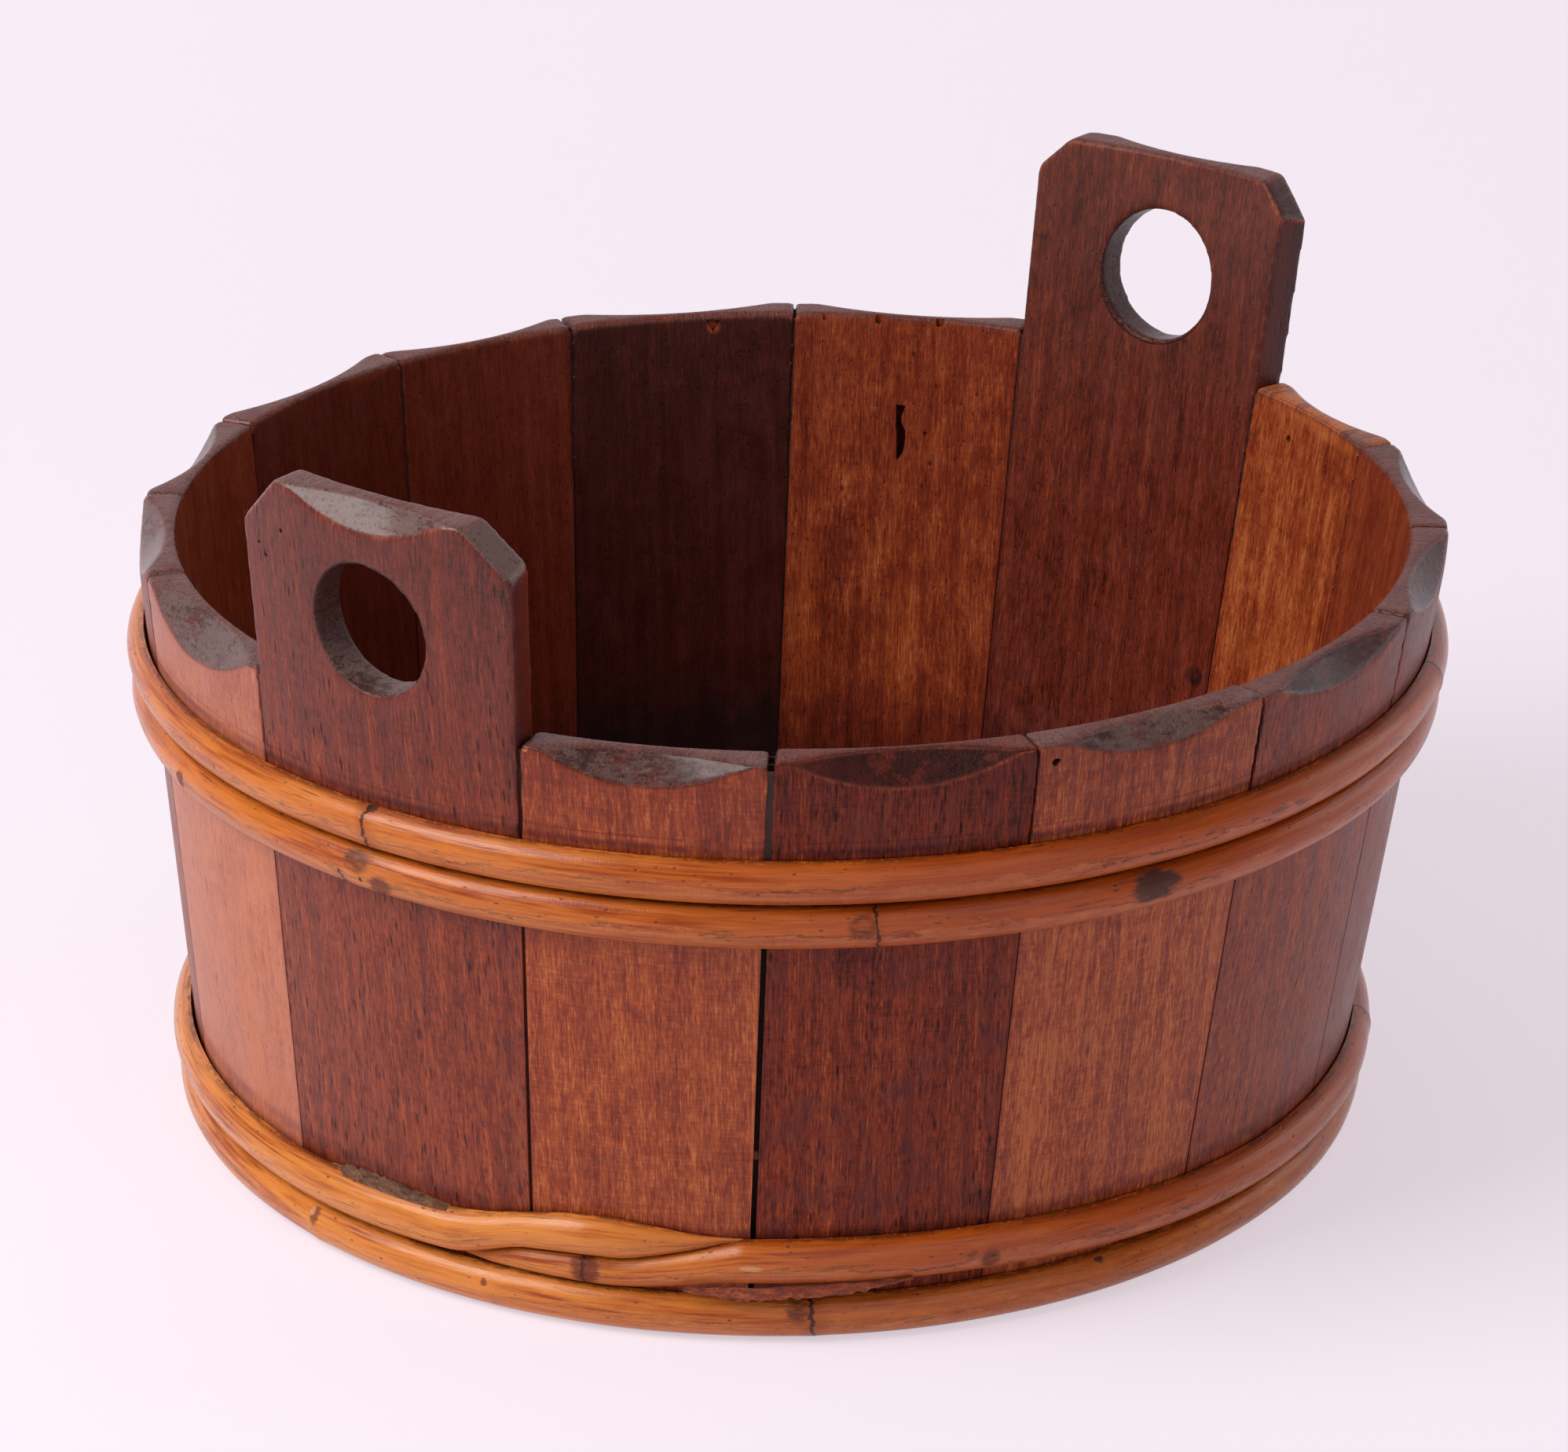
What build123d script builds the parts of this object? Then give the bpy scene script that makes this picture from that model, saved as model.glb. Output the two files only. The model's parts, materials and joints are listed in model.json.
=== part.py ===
from build123d import *
import os
from math import asin, cos, degrees, pi, radians, sin, sqrt

# A coopered wooden piggin: tapered staves round a level bottom, two of them standing tall as
# pierced handles, held by two pairs of split-cane hoops. Millimetres and degrees. +Z is up, the
# near handle stands on the -X side and the far handle on the +X side, and the origin is the
# middle of the outline at the height of the foot.

# --- the vessel ---------------------------------------------------------------------------
BODY_HEIGHT = 129.0          # foot to rim
FOOT_RADIUS = 124.6          # outside of the staves at the foot
RIM_RADIUS = 138.2           # outside of the staves at the rim
WALL = 8.2                   # thickness of a stave
LEAN_LENGTH = 4.7            # how far the rim's middle stands out of true over the foot's
LEAN_TOWARDS = -52.75        # azimuth that the vessel leans to
FIRST_JOINT = -16.15         # azimuth of the joint where the far handle's stave begins

# --- the handles --------------------------------------------------------------------------
NEAR_HANDLE_HEIGHT = 172.3   # foot to the top of the near handle
FAR_HANDLE_HEIGHT = 174.8
NEAR_CORNER_LENGTH = 11.0    # of the corners sawn off the near handle, at 45 degrees
FAR_CORNER_LENGTH = 9.4
CORNER_ROUNDING = 3.0        # where a sawn corner meets the side or the top
NEAR_HOLE_RADIUS = 13.5
FAR_HOLE_RADIUS = 14.9
NEAR_HOLE_DOWN = 25.8        # top of the handle to the middle of its hole
FAR_HOLE_DOWN = 27.8
HANDLE_GOUGE_LENGTH = 41.0   # hollow along the top outer edge of a handle
HANDLE_GOUGE_DOWN = 6.9      # how far it reaches down the outer face
HANDLE_GOUGE_IN = 4.6        # how far it reaches across the top

# --- the bottom ---------------------------------------------------------------------------
BOTTOM_THICKNESS = 8.0
BOTTOM_UNDERSIDE = 9.0       # height of the bottom's underside over the foot
GROOVE_DEPTH = 3.2           # depth of the groove cut round the staves
EDGE_CLEARANCE = 0.3         # between the bottom's edge and the groove's back wall
BOARD_COUNT = 3
BOARD_GRAIN = 24.0           # azimuth that the boards run along

# --- pins -----------------------------------------------------------------------------------
PIN_RADIUS = 1.3
PIN_LENGTH = 15.0
PIN_CLEARANCE = 0.05         # round a pin in its hole
PIN_END_CLEARANCE = 0.4      # past each end of a pin
STAVE_PIN_HEIGHT = 40.5      # foot to the pins between the staves
BOARD_PIN_SPREAD = 110.0     # between the two pins of one joint of the bottom

# --- the hoops ------------------------------------------------------------------------------
CANE_HEIGHT = 9.3            # of the three plain hoops
SPLICED_CANE_HEIGHT = 10.0   # of the hoop whose splice faces the front
UPPER_CANE_PROUD = 4.4       # how far the upper hoops stand out of the wall
LOWER_CANE_PROUD = 5.3       # how far the lower hoops stand out of the wall
HOOP_CLEARANCE = 0.25        # between a hoop's flat side and the staves
HOOP_SPACING = 0.35          # between the two hoops of a pair
UPPER_PAIR_HEIGHT = 89.9     # foot to the underside of the upper pair
LOWER_PAIR_HEIGHT = 0.3      # foot to the underside of the lower pair
LAP_ANGLE = 28.0             # over which a hoop's two cut ends pass each other
LAP_CLEARANCE = 0.25         # between the two ends in the lap
UPPER_TOP_LAP_AT = 62.0      # azimuths where the laps of the three plain hoops begin
UPPER_BOTTOM_LAP_AT = 8.0
LOWER_BOTTOM_LAP_AT = 30.0
TIP_HEIGHT = 1.2             # of a cut end
ROUNDEST = 0.96              # most that a cane stands out, as a share of half its height
STATION_ANGLE = 4.7          # between two sections of a hoop where its height changes
SPLICE_AT = -173.2           # azimuth where the front splice begins
SPLICE_SWELL = 3.6           # how much taller the hoop is at the middle of that splice
SPLICE_STEP = 0.34           # share of the height that its lower end keeps to at first
SPLICE_STEP_RISES = 0.3      # shares of the lap by which that end has risen to it,
SPLICE_STEP_UNTIL = 0.5      # and until which it keeps to it
SPLICE_LIFT = 3.1            # how far the hoop rides up off its neighbour beside that splice
LIFT_FROM = -193.0           # azimuths between which it rides up
LIFT_TO = -83.0

# One row for each stave, from the far handle's on, anticlockwise seen from above: name, width
# in degrees, open seam at its first joint, how far it stands over its neighbours, and how far
# its hollow reaches down the outer face and across the top.
STAVES = [
    ("handle_stave_far", 29.2, 0.35, 0.0, 0.0, 0.0),
    ("stave_left_7", 24.0, 0.25, 0.0, 6.6, 5.9),
    ("stave_left_6", 23.6, 0.30, 0.2, 6.2, 5.6),
    ("stave_left_5", 20.2, 0.25, 0.0, 6.5, 6.0),
    ("stave_left_4", 23.2, 0.30, 0.3, 6.8, 6.2),
    ("stave_left_3", 20.2, 0.30, 0.0, 7.2, 6.6),
    ("stave_left_2", 20.1, 0.25, 0.2, 7.0, 6.0),
    ("stave_left_1", 23.6, 0.30, 0.0, 8.6, 6.6),
    ("handle_stave_near", 27.3, 0.35, 0.0, 0.0, 0.0),
    ("stave_right_1", 20.4, 0.75, 0.0, 7.1, 5.4),
    ("stave_right_2", 21.4, 1.10, 0.6, 6.8, 6.6),
    ("stave_right_3", 21.7, 0.25, 0.6, 5.6, 5.4),
    ("stave_right_4", 22.2, 0.35, 0.0, 6.0, 5.8),
    ("stave_right_5", 21.9, 0.40, 0.2, 6.3, 6.0),
    ("stave_right_6", 21.9, 0.30, 0.0, 6.0, 5.4),
    ("stave_right_7", 19.1, 0.30, 0.2, 5.8, 5.2),
]
GOUGE_MARGIN = 2.2           # plain edge left between a stave's hollow and each joint
CUTTER_LENGTH = 80.0         # of a tool that passes right through a wall


def polar(radius, azimuth):
    """Point on the ground plane."""
    return Vector(radius * cos(radians(azimuth)), radius * sin(radians(azimuth)), 0)


def axis_point(height):
    """Middle of the vessel at a height: the axis leans a little out of true."""
    return polar(LEAN_LENGTH * height / BODY_HEIGHT, LEAN_TOWARDS) + Vector(0, 0, height)


def outer_radius(height):
    return FOOT_RADIUS + (RIM_RADIUS - FOOT_RADIUS) * height / BODY_HEIGHT


def wall_point(height, azimuth, out=0.0):
    """Point on the outer wall, or that far out of it."""
    return axis_point(height) + polar(outer_radius(height) + out, azimuth)


def level_slice(height, joint_a, joint_b, seam_a, seam_b):
    """Level slice of a stave between two joints, each opened by half of its seam."""
    inner, outer = outer_radius(height) - WALL, outer_radius(height)
    middle = axis_point(height)

    def corner(radius, joint, half_seam):
        return middle + polar(radius, joint + degrees(asin(half_seam / radius)))

    mean = (joint_a + joint_b) / 2
    inner_a, inner_b = corner(inner, joint_a, seam_a / 2), corner(inner, joint_b, -seam_b / 2)
    outer_a, outer_b = corner(outer, joint_a, seam_a / 2), corner(outer, joint_b, -seam_b / 2)
    return make_face([
        ThreePointArc(outer_a, middle + polar(outer, mean), outer_b),
        Line(outer_b, inner_b),
        ThreePointArc(inner_b, middle + polar(inner, mean), inner_a),
        Line(inner_a, outer_a),
    ])


def gouge(height, azimuth, half_length, down, across):
    """Round cutter lying across the top outer edge, sized to leave a hollow of that length."""
    out_share = down / sqrt(down ** 2 + across ** 2)
    up_share = across / sqrt(down ** 2 + across ** 2)
    depth = down * across / sqrt(down ** 2 + across ** 2)
    wall_curve = out_share / (2 * outer_radius(height))
    radius = 1 / (2 * max(depth / half_length ** 2 - wall_curve, 1 / (8 * half_length)))
    outward = polar(1, azimuth) * out_share + Vector(0, 0, up_share)
    along = polar(1, azimuth) * up_share - Vector(0, 0, out_share)
    middle = wall_point(height, azimuth) + outward * (radius - depth)
    return Plane(origin=middle, z_dir=along) * Cylinder(radius, CUTTER_LENGTH)


def groove():
    """Level disc that cuts the groove for the bottom."""
    height = BOTTOM_UNDERSIDE + BOTTOM_THICKNESS / 2
    radius = outer_radius(height) - WALL + GROOVE_DEPTH
    return Pos(axis_point(height)) * Cylinder(radius, BOTTOM_THICKNESS)


def whittled(radius, length):
    """Pin cut to eight sides, lying along Z about its middle."""
    return extrude(RegularPolygon(radius, 8), length / 2, both=True)


def pin_hole():
    return whittled(PIN_RADIUS + PIN_CLEARANCE, PIN_LENGTH + 2 * PIN_END_CLEARANCE)


def joint_seat(joint):
    """Middle of the wall at a joint between two staves, facing square across the joint."""
    seat = wall_point(STAVE_PIN_HEIGHT, joint, -WALL / 2)
    return Plane(origin=seat, z_dir=polar(1, joint + 90))


def hole_axis(height, azimuth):
    """Middle of a handle's hole in the wall, and its direction square to the outer face."""
    slope = (RIM_RADIUS - FOOT_RADIUS) / BODY_HEIGHT
    outward = (polar(1, azimuth) - Vector(0, 0, slope)).normalized()
    return wall_point(height, azimuth, -WALL / 2), outward


def saw_corners(stave, top, cut, azimuth, half_width):
    """Take the two top corners off a handle and round the new edges a little."""
    for side in (-1, 1):
        across = polar(1, azimuth + 90) * side
        corner = wall_point(top, azimuth) + across * half_width
        off = (across + Vector(0, 0, 1)).normalized()
        reach = cut / sqrt(2)
        tool = Box(2 * CUTTER_LENGTH, CUTTER_LENGTH, CUTTER_LENGTH)
        tool = Plane(origin=corner + off * (CUTTER_LENGTH / 2 - reach), z_dir=off,
                     x_dir=polar(1, azimuth)) * tool
        stave = stave - tool
    through = [e for e in stave.edges() if e.bounding_box().min.Z > top - 2 * cut
               and abs((e @ 1 - e @ 0).normalized().dot(polar(1, azimuth))) > sqrt(0.5)]
    return fillet(through, CORNER_ROUNDING)


def make_stave(index, joints):
    name, _, seam_a, rise, down, across = STAVES[index]
    seam_b = STAVES[(index + 1) % len(STAVES)][2]
    joint_a, joint_b = joints[index], joints[index + 1]
    azimuth = (joint_a + joint_b) / 2
    handles = {
        "handle_stave_near": (NEAR_HANDLE_HEIGHT, NEAR_CORNER_LENGTH, NEAR_HOLE_DOWN,
                              NEAR_HOLE_RADIUS),
        "handle_stave_far": (FAR_HANDLE_HEIGHT, FAR_CORNER_LENGTH, FAR_HOLE_DOWN,
                             FAR_HOLE_RADIUS),
    }
    top = handles[name][0] if name in handles else BODY_HEIGHT + rise
    slices = [level_slice(z, joint_a, joint_b, seam_a, seam_b) for z in (0, top)]
    stave = loft(slices, ruled=True)
    half_width = outer_radius(top) * sin(radians((joint_b - joint_a) / 2))
    if name in handles:
        _, cut, hole_down, hole_radius = handles[name]
        stave = saw_corners(stave, top, cut, azimuth, half_width)
        middle, outward = hole_axis(top - hole_down, azimuth)
        stave = stave - Plane(origin=middle, z_dir=outward) * Cylinder(hole_radius, CUTTER_LENGTH)
        stave = stave - gouge(top, azimuth, HANDLE_GOUGE_LENGTH / 2, HANDLE_GOUGE_DOWN,
                              HANDLE_GOUGE_IN)
    else:
        stave = stave - gouge(top, azimuth, half_width - GOUGE_MARGIN, down, across)
    stave = stave - groove()
    for joint in (joint_a, joint_b):
        stave = stave - joint_seat(joint) * pin_hole()
    return name, stave


def bottom_boards():
    """Level disc of edge-jointed boards, and the pins between them."""
    height = BOTTOM_UNDERSIDE + BOTTOM_THICKNESS / 2
    radius = outer_radius(height) - WALL + GROOVE_DEPTH - EDGE_CLEARANCE
    width = 2 * radius / BOARD_COUNT
    lay = Pos(axis_point(height)) * Rot(0, 0, BOARD_GRAIN)
    pins, holes = [], []
    for joint in range(1, BOARD_COUNT):
        for side in (-1, 1):
            seat = Pos(side * BOARD_PIN_SPREAD / 2, joint * width - radius, 0) * Rot(90, 0, 0)
            pins.append(lay * seat * whittled(PIN_RADIUS, PIN_LENGTH))
            holes.append(lay * seat * pin_hole())
    boards = []
    for board in range(BOARD_COUNT):
        strip = Pos(0, (board + 0.5) * width - radius, 0) * Box(2 * radius, width,
                                                                BOTTOM_THICKNESS)
        shape = lay * (strip & Cylinder(radius, BOTTOM_THICKNESS))
        for hole in holes:
            shape = shape - hole
        boards.append(shape)
    return boards, pins


def smooth_step(share):
    share = min(max(share, 0.0), 1.0)
    return share * share * (3 - 2 * share)


def swell(share):
    """Nothing at both ends of a stretch and one at its middle."""
    return sin(pi * share) ** 2 if 0 < share < 1 else 0.0


def cane_section(azimuth, low, high, proud):
    """Cut through a split cane: flat against the wall, round outside."""
    middle, reach = (low + high) / 2, (high - low) / 2
    ring_middle = axis_point(middle)

    def spot(height, out):
        radius = outer_radius(height) + HOOP_CLEARANCE + out
        return ring_middle + polar(radius, azimuth) + Vector(0, 0, height - middle)

    foot, head = spot(low, 0), spot(high, 0)
    crown = spot(middle, min(proud, ROUNDEST * reach))
    return Wire([Edge.make_three_point_arc(foot, crown, head), Edge.make_line(head, foot)])


def hoop(foot, height, proud, lap_from, split, swelling=0.0, lift=0.0):
    """One strip of split cane taken once round the vessel, its cut ends passing in a lap.

    split(share) is the share of the cane's height that the lower end has along the lap. The
    stretch that rides up and the lap are lofts, and the rest is turned about the vessel's axis.
    """
    lap_to = lap_from + LAP_ANGLE
    plain_from = max(lap_to, LIFT_TO) if lift else lap_to
    plain_to = LIFT_FROM + 360 if lift else lap_from + 360

    def section(azimuth):
        turned = azimuth - lap_from
        past = (azimuth - LIFT_FROM) % 360
        in_lap = (turned % 360) / LAP_ANGLE if turned < 360 + LAP_ANGLE else 1.0
        low = foot + lift * swell(past / (LIFT_TO - LIFT_FROM))
        high = low + height + swelling * swell(in_lap)
        if turned < LAP_ANGLE:
            high = low + max((high - low) * split(in_lap) - LAP_CLEARANCE * (1 - in_lap),
                             TIP_HEIGHT)
        elif turned > 360:
            low = high - max((high - low) * (1 - split(in_lap)), TIP_HEIGHT)
        return cane_section(azimuth, low, high, proud)

    def shaped(start, end):
        steps = round((end - start) / STATION_ANGLE)
        return Solid.make_loft([section(start + (end - start) * step / steps)
                                for step in range(steps + 1)], ruled=True)

    ring_axis = Axis(axis_point(foot + height / 2), (0, 0, 1))
    plain = revolve(make_face(section(plain_from)), ring_axis, plain_to - plain_from)
    return plain + shaped(lap_from, plain_from) + shaped(plain_to, lap_to + 360)


def plain_split(share):
    return share


def front_split(share):
    """The lower end keeps one even height for a while before it takes the whole."""
    rise, rest = SPLICE_STEP_RISES, 1 - SPLICE_STEP_UNTIL
    last = smooth_step((share - SPLICE_STEP_UNTIL) / rest)
    return SPLICE_STEP * smooth_step(share / rise) + (1 - SPLICE_STEP) * last


def main():
    joints = [FIRST_JOINT]
    total = sum(row[1] for row in STAVES)
    for row in STAVES:
        joints.append(joints[-1] + 360 * row[1] / total)
    parts = dict(make_stave(index, joints) for index in range(len(STAVES)))
    boards, board_pins = bottom_boards()
    for number, board in enumerate(boards, 1):
        parts[f"bottom_board_{number}"] = board
    stave_pins = [joint_seat(joint) * whittled(PIN_RADIUS, PIN_LENGTH) for joint in joints[:-1]]
    parts["board_pins"] = Compound([solid for pin in board_pins for solid in pin.solids()])
    parts["stave_pins"] = Compound([solid for pin in stave_pins for solid in pin.solids()])
    pair_step = CANE_HEIGHT + HOOP_SPACING
    parts["hoop_upper_top"] = hoop(UPPER_PAIR_HEIGHT + pair_step, CANE_HEIGHT,
                                   UPPER_CANE_PROUD, UPPER_TOP_LAP_AT, plain_split)
    parts["hoop_upper_bottom"] = hoop(UPPER_PAIR_HEIGHT, CANE_HEIGHT, UPPER_CANE_PROUD,
                                      UPPER_BOTTOM_LAP_AT, plain_split)
    parts["hoop_lower_top"] = hoop(LOWER_PAIR_HEIGHT + pair_step, SPLICED_CANE_HEIGHT,
                                   LOWER_CANE_PROUD, SPLICE_AT, front_split, SPLICE_SWELL,
                                   SPLICE_LIFT)
    parts["hoop_lower_bottom"] = hoop(LOWER_PAIR_HEIGHT, CANE_HEIGHT, LOWER_CANE_PROUD,
                                      LOWER_BOTTOM_LAP_AT, plain_split)
    outline = Compound([solid for part in parts.values() for solid in part.solids()])
    middle = outline.bounding_box().center()
    os.makedirs("parts", exist_ok=True)
    for name, part in parts.items():
        export_step(Pos(-middle.X, -middle.Y, 0) * part, f"parts/{name}.step")
    print("foot's middle at", round(-middle.X, 3), round(-middle.Y, 3))


main()
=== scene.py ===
import json
from math import cos, degrees, exp, pi, radians, sin

import bpy
from mathutils import Matrix, Vector, noise

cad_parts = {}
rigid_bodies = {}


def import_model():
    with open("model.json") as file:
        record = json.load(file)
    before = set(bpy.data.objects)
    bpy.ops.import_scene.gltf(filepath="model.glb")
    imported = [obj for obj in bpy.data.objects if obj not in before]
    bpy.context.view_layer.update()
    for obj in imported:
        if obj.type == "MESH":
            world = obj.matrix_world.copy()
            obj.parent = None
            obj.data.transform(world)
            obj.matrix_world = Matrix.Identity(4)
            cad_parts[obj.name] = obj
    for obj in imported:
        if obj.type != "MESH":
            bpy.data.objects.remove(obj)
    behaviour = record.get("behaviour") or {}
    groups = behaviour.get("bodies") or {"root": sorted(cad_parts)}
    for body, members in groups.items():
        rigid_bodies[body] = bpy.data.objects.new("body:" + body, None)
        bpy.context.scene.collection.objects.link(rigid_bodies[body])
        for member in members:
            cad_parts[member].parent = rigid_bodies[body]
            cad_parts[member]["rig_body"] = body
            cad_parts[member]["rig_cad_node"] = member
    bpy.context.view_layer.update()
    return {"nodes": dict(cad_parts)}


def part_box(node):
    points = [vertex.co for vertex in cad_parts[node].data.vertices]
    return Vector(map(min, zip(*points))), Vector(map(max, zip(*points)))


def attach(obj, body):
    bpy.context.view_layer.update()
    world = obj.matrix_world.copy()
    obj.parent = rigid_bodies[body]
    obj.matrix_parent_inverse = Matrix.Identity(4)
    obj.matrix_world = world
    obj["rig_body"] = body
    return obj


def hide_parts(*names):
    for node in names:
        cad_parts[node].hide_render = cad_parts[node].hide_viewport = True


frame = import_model()

bl_info = {
    "name": "Coopered Piggin",
    "version": (1, 0, 0),
    "blender": (4, 5, 0),
    "location": "View3D > Sidebar > Piggin",
    "description": "Finishes a coopered wooden piggin round its packed frame",
    "category": "Object",
}

# --- the vessel, in metres and degrees, as the frame has it ---------------------------------
RIM_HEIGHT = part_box("stave_left_7")[1].z
NEAR_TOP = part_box("handle_stave_near")[1].z
FAR_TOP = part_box("handle_stave_far")[1].z
FOOT_RADIUS = 0.1246
RIM_RADIUS = 0.1382
WALL = 0.0082
FOOT_MIDDLE = Vector((-0.003858, 0.003022, 0.0))
LEAN = 0.0047
LEAN_TOWARDS = -52.75
FIRST_JOINT = -16.15
OPEN_JOINT = 10
BOARD_GRAIN = 24.0
HOLE_DOWN = {"near": 0.0258, "far": 0.0278}
HOLE_RADIUS = {"near": 0.0135, "far": 0.0149}

# --- wear and dirt --------------------------------------------------------------------------
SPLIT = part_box("hoop_upper_bottom")[0].z + 0.0026   # a stave is rubbed round above this height
SPLIT_OVERLAP = 0.004
GRIT = 0.00055                                      # size of the faces that a top is rubbed in
KEPT_FACES = 0.22                                   # share of them that is kept
JOINT_SIDE = 0.0018                                 # so near a joint, only the rim is rubbed
RUBBED_AT_JOINT = 0.0015
CUT_PAST = 0.001
DIRT_UNDER_OUTSIDE = 0.0011
DIRT_UNDER_INSIDE = 0.0006
DIRT_IN_OPEN_JOINT = 0.0005
DIRT_OVER_FOOT = 0.0008
DIRT_UNDER_RIM = 0.0014
DIRT_THICKNESS = 0.0004
DIRT_WIDTH = 0.0018
WOOD_RELIEF = 0.00022
CANE_RELIEF = 0.00025

# --- hoops, as the frame has them -----------------------------------------------------------
CANE_CLEARANCE = 0.00025
LAP_ANGLE = 28.0
LAP_CLEARANCE = 0.00025
TIP_HEIGHT = 0.0012
SPLICE_AT = -173.2
SPLICE_SWELL = 0.0036
SPLICE_LIFT = 0.0031
SPLICE_STEP = 0.34
SPLICE_STEP_RISES = 0.3
SPLICE_STEP_UNTIL = 0.60
LIFT_FROM = -193.0
LIFT_TO = -83.0
CANE_STATIONS = 640
CANE_SPOTS = 24
ROUND_SHARE = 0.72      # share of the way round a cane's section that its round face takes
KNUCKLE_REACH = 0.0022

# Staves from the far handle's on, anticlockwise seen from above: name, width in degrees, and the
# wood's own look: its tone from dark to pale, how strong its figure is, how plum-stained, how
# flecked and how open its pores are, and how raw the hollow at its top is.
STAVES = [
    ("handle_stave_far", 29.2, 0.43, 1.6, 0.45, 0.3, 0.7, 0.5),
    ("stave_left_7", 24.0, 0.60, 1.4, 0.05, 0.3, 0.1, 0.4),
    ("stave_left_6", 23.6, 0.16, 0.5, 0.25, 0.0, 0.2, 0.4),
    ("stave_left_5", 20.2, 0.44, 0.8, 0.10, 0.2, 0.3, 0.4),
    ("stave_left_4", 23.2, 0.36, 0.7, 0.20, 0.0, 0.2, 1.0),
    ("stave_left_3", 20.2, 0.59, 0.7, 0.10, 0.1, 0.2, 1.0),
    ("stave_left_2", 20.1, 0.63, 0.8, 0.15, 0.2, 0.2, 1.0),
    ("stave_left_1", 23.6, 0.90, 0.8, 0.10, 0.3, 0.3, 0.9),
    ("handle_stave_near", 27.3, 0.61, 1.5, 0.60, 0.3, 1.6, 0.9),
    ("stave_right_1", 20.4, 0.71, 1.3, 0.15, 0.8, 0.3, 0.68),
    ("stave_right_2", 21.4, 0.52, 1.9, 0.95, 0.4, 1.5, 0.0),
    ("stave_right_3", 21.7, 0.75, 1.7, 0.35, 0.8, 0.3, 0.78),
    ("stave_right_4", 22.2, 0.62, 1.8, 0.50, 0.4, 0.6, 0.5),
    ("stave_right_5", 21.9, 0.57, 1.4, 0.40, 0.4, 0.6, 0.5),
    ("stave_right_6", 21.9, 0.60, 1.1, 0.20, 0.3, 0.4, 0.5),
    ("stave_right_7", 19.1, 0.72, 1.6, 0.10, 0.5, 0.3, 0.8),
]

# Marks on the wood: stave, inside or not, azimuth, height, half width, half height, and how far
# the tone falls there, or rises where that is below nought.
MARKS = [
    ("handle_stave_far", True, 346.10, 0.0588, 0.0032, 0.0024, 0.25),
    ("handle_stave_far", True, 2.40, 0.1611, 0.0003, 0.0018, 0.40),
    ("handle_stave_far", True, 354.16, 0.1343, 0.0012, 0.0009, 0.25),
    ("handle_stave_far", True, 11.59, 0.1514, 0.0022, 0.0008, 0.15),
    ("stave_left_7", True, 22.52, 0.1016, 0.0006, 0.0005, 0.45),
    ("stave_left_7", True, 21.73, 0.0945, 0.0005, 0.0007, 0.35),
    ("stave_left_7", True, 31.17, 0.0870, 0.0005, 0.0008, 0.40),
    ("stave_left_7", True, 24.40, 0.1204, 0.0006, 0.0006, 0.25),
    ("stave_left_7", True, 17.28, 0.1121, 0.0004, 0.0007, 0.35),
    ("stave_left_7", True, 21.70, 0.1130, 0.0004, 0.0006, 0.25),
    ("stave_left_7", True, 22.54, 0.0889, 0.0005, 0.0006, 0.25),
    ("stave_left_7", True, 31.10, 0.0716, 0.0040, 0.0130, 0.20),
    ("stave_left_7", True, 34.46, 0.0435, 0.0035, 0.0300, -0.14),
    ("stave_left_7", True, 23.42, 0.0445, 0.0045, 0.0260, -0.10),
    ("stave_left_6", True, 45.48, 0.1259, 0.0018, 0.0016, -0.60),
    ("stave_left_4", True, 85.20, 0.1293, 0.0080, 0.0030, -0.22),
    ("stave_right_1", False, 215.20, 0.0640, 0.0004, 0.0600, -0.16),
    ("stave_right_1", False, 200.45, 0.0953, 0.0070, 0.0100, -0.06),
    ("stave_right_1", False, 195.75, 0.1283, 0.0009, 0.0007, -0.70),
    ("stave_right_2", False, 223.26, 0.0851, 0.0050, 0.0060, 0.12),
    ("stave_right_2", False, 236.30, 0.0280, 0.0035, 0.0030, 0.20),
    ("stave_right_2", False, 236.60, 0.1035, 0.0040, 0.0060, 0.15),
    ("stave_right_4", False, 258.83, 0.1168, 0.0004, 0.0100, 0.35),
    ("stave_right_7", True, 331.63, 0.1272, 0.0160, 0.0026, -0.20),
    ("stave_right_7", True, 328.47, 0.1093, 0.0010, 0.0070, -0.22),
    ("stave_right_7", True, 341.97, 0.0915, 0.0012, 0.0100, -0.15),
    ("stave_right_7", True, 333.35, 0.0614, 0.0120, 0.0220, -0.10),
]

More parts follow.
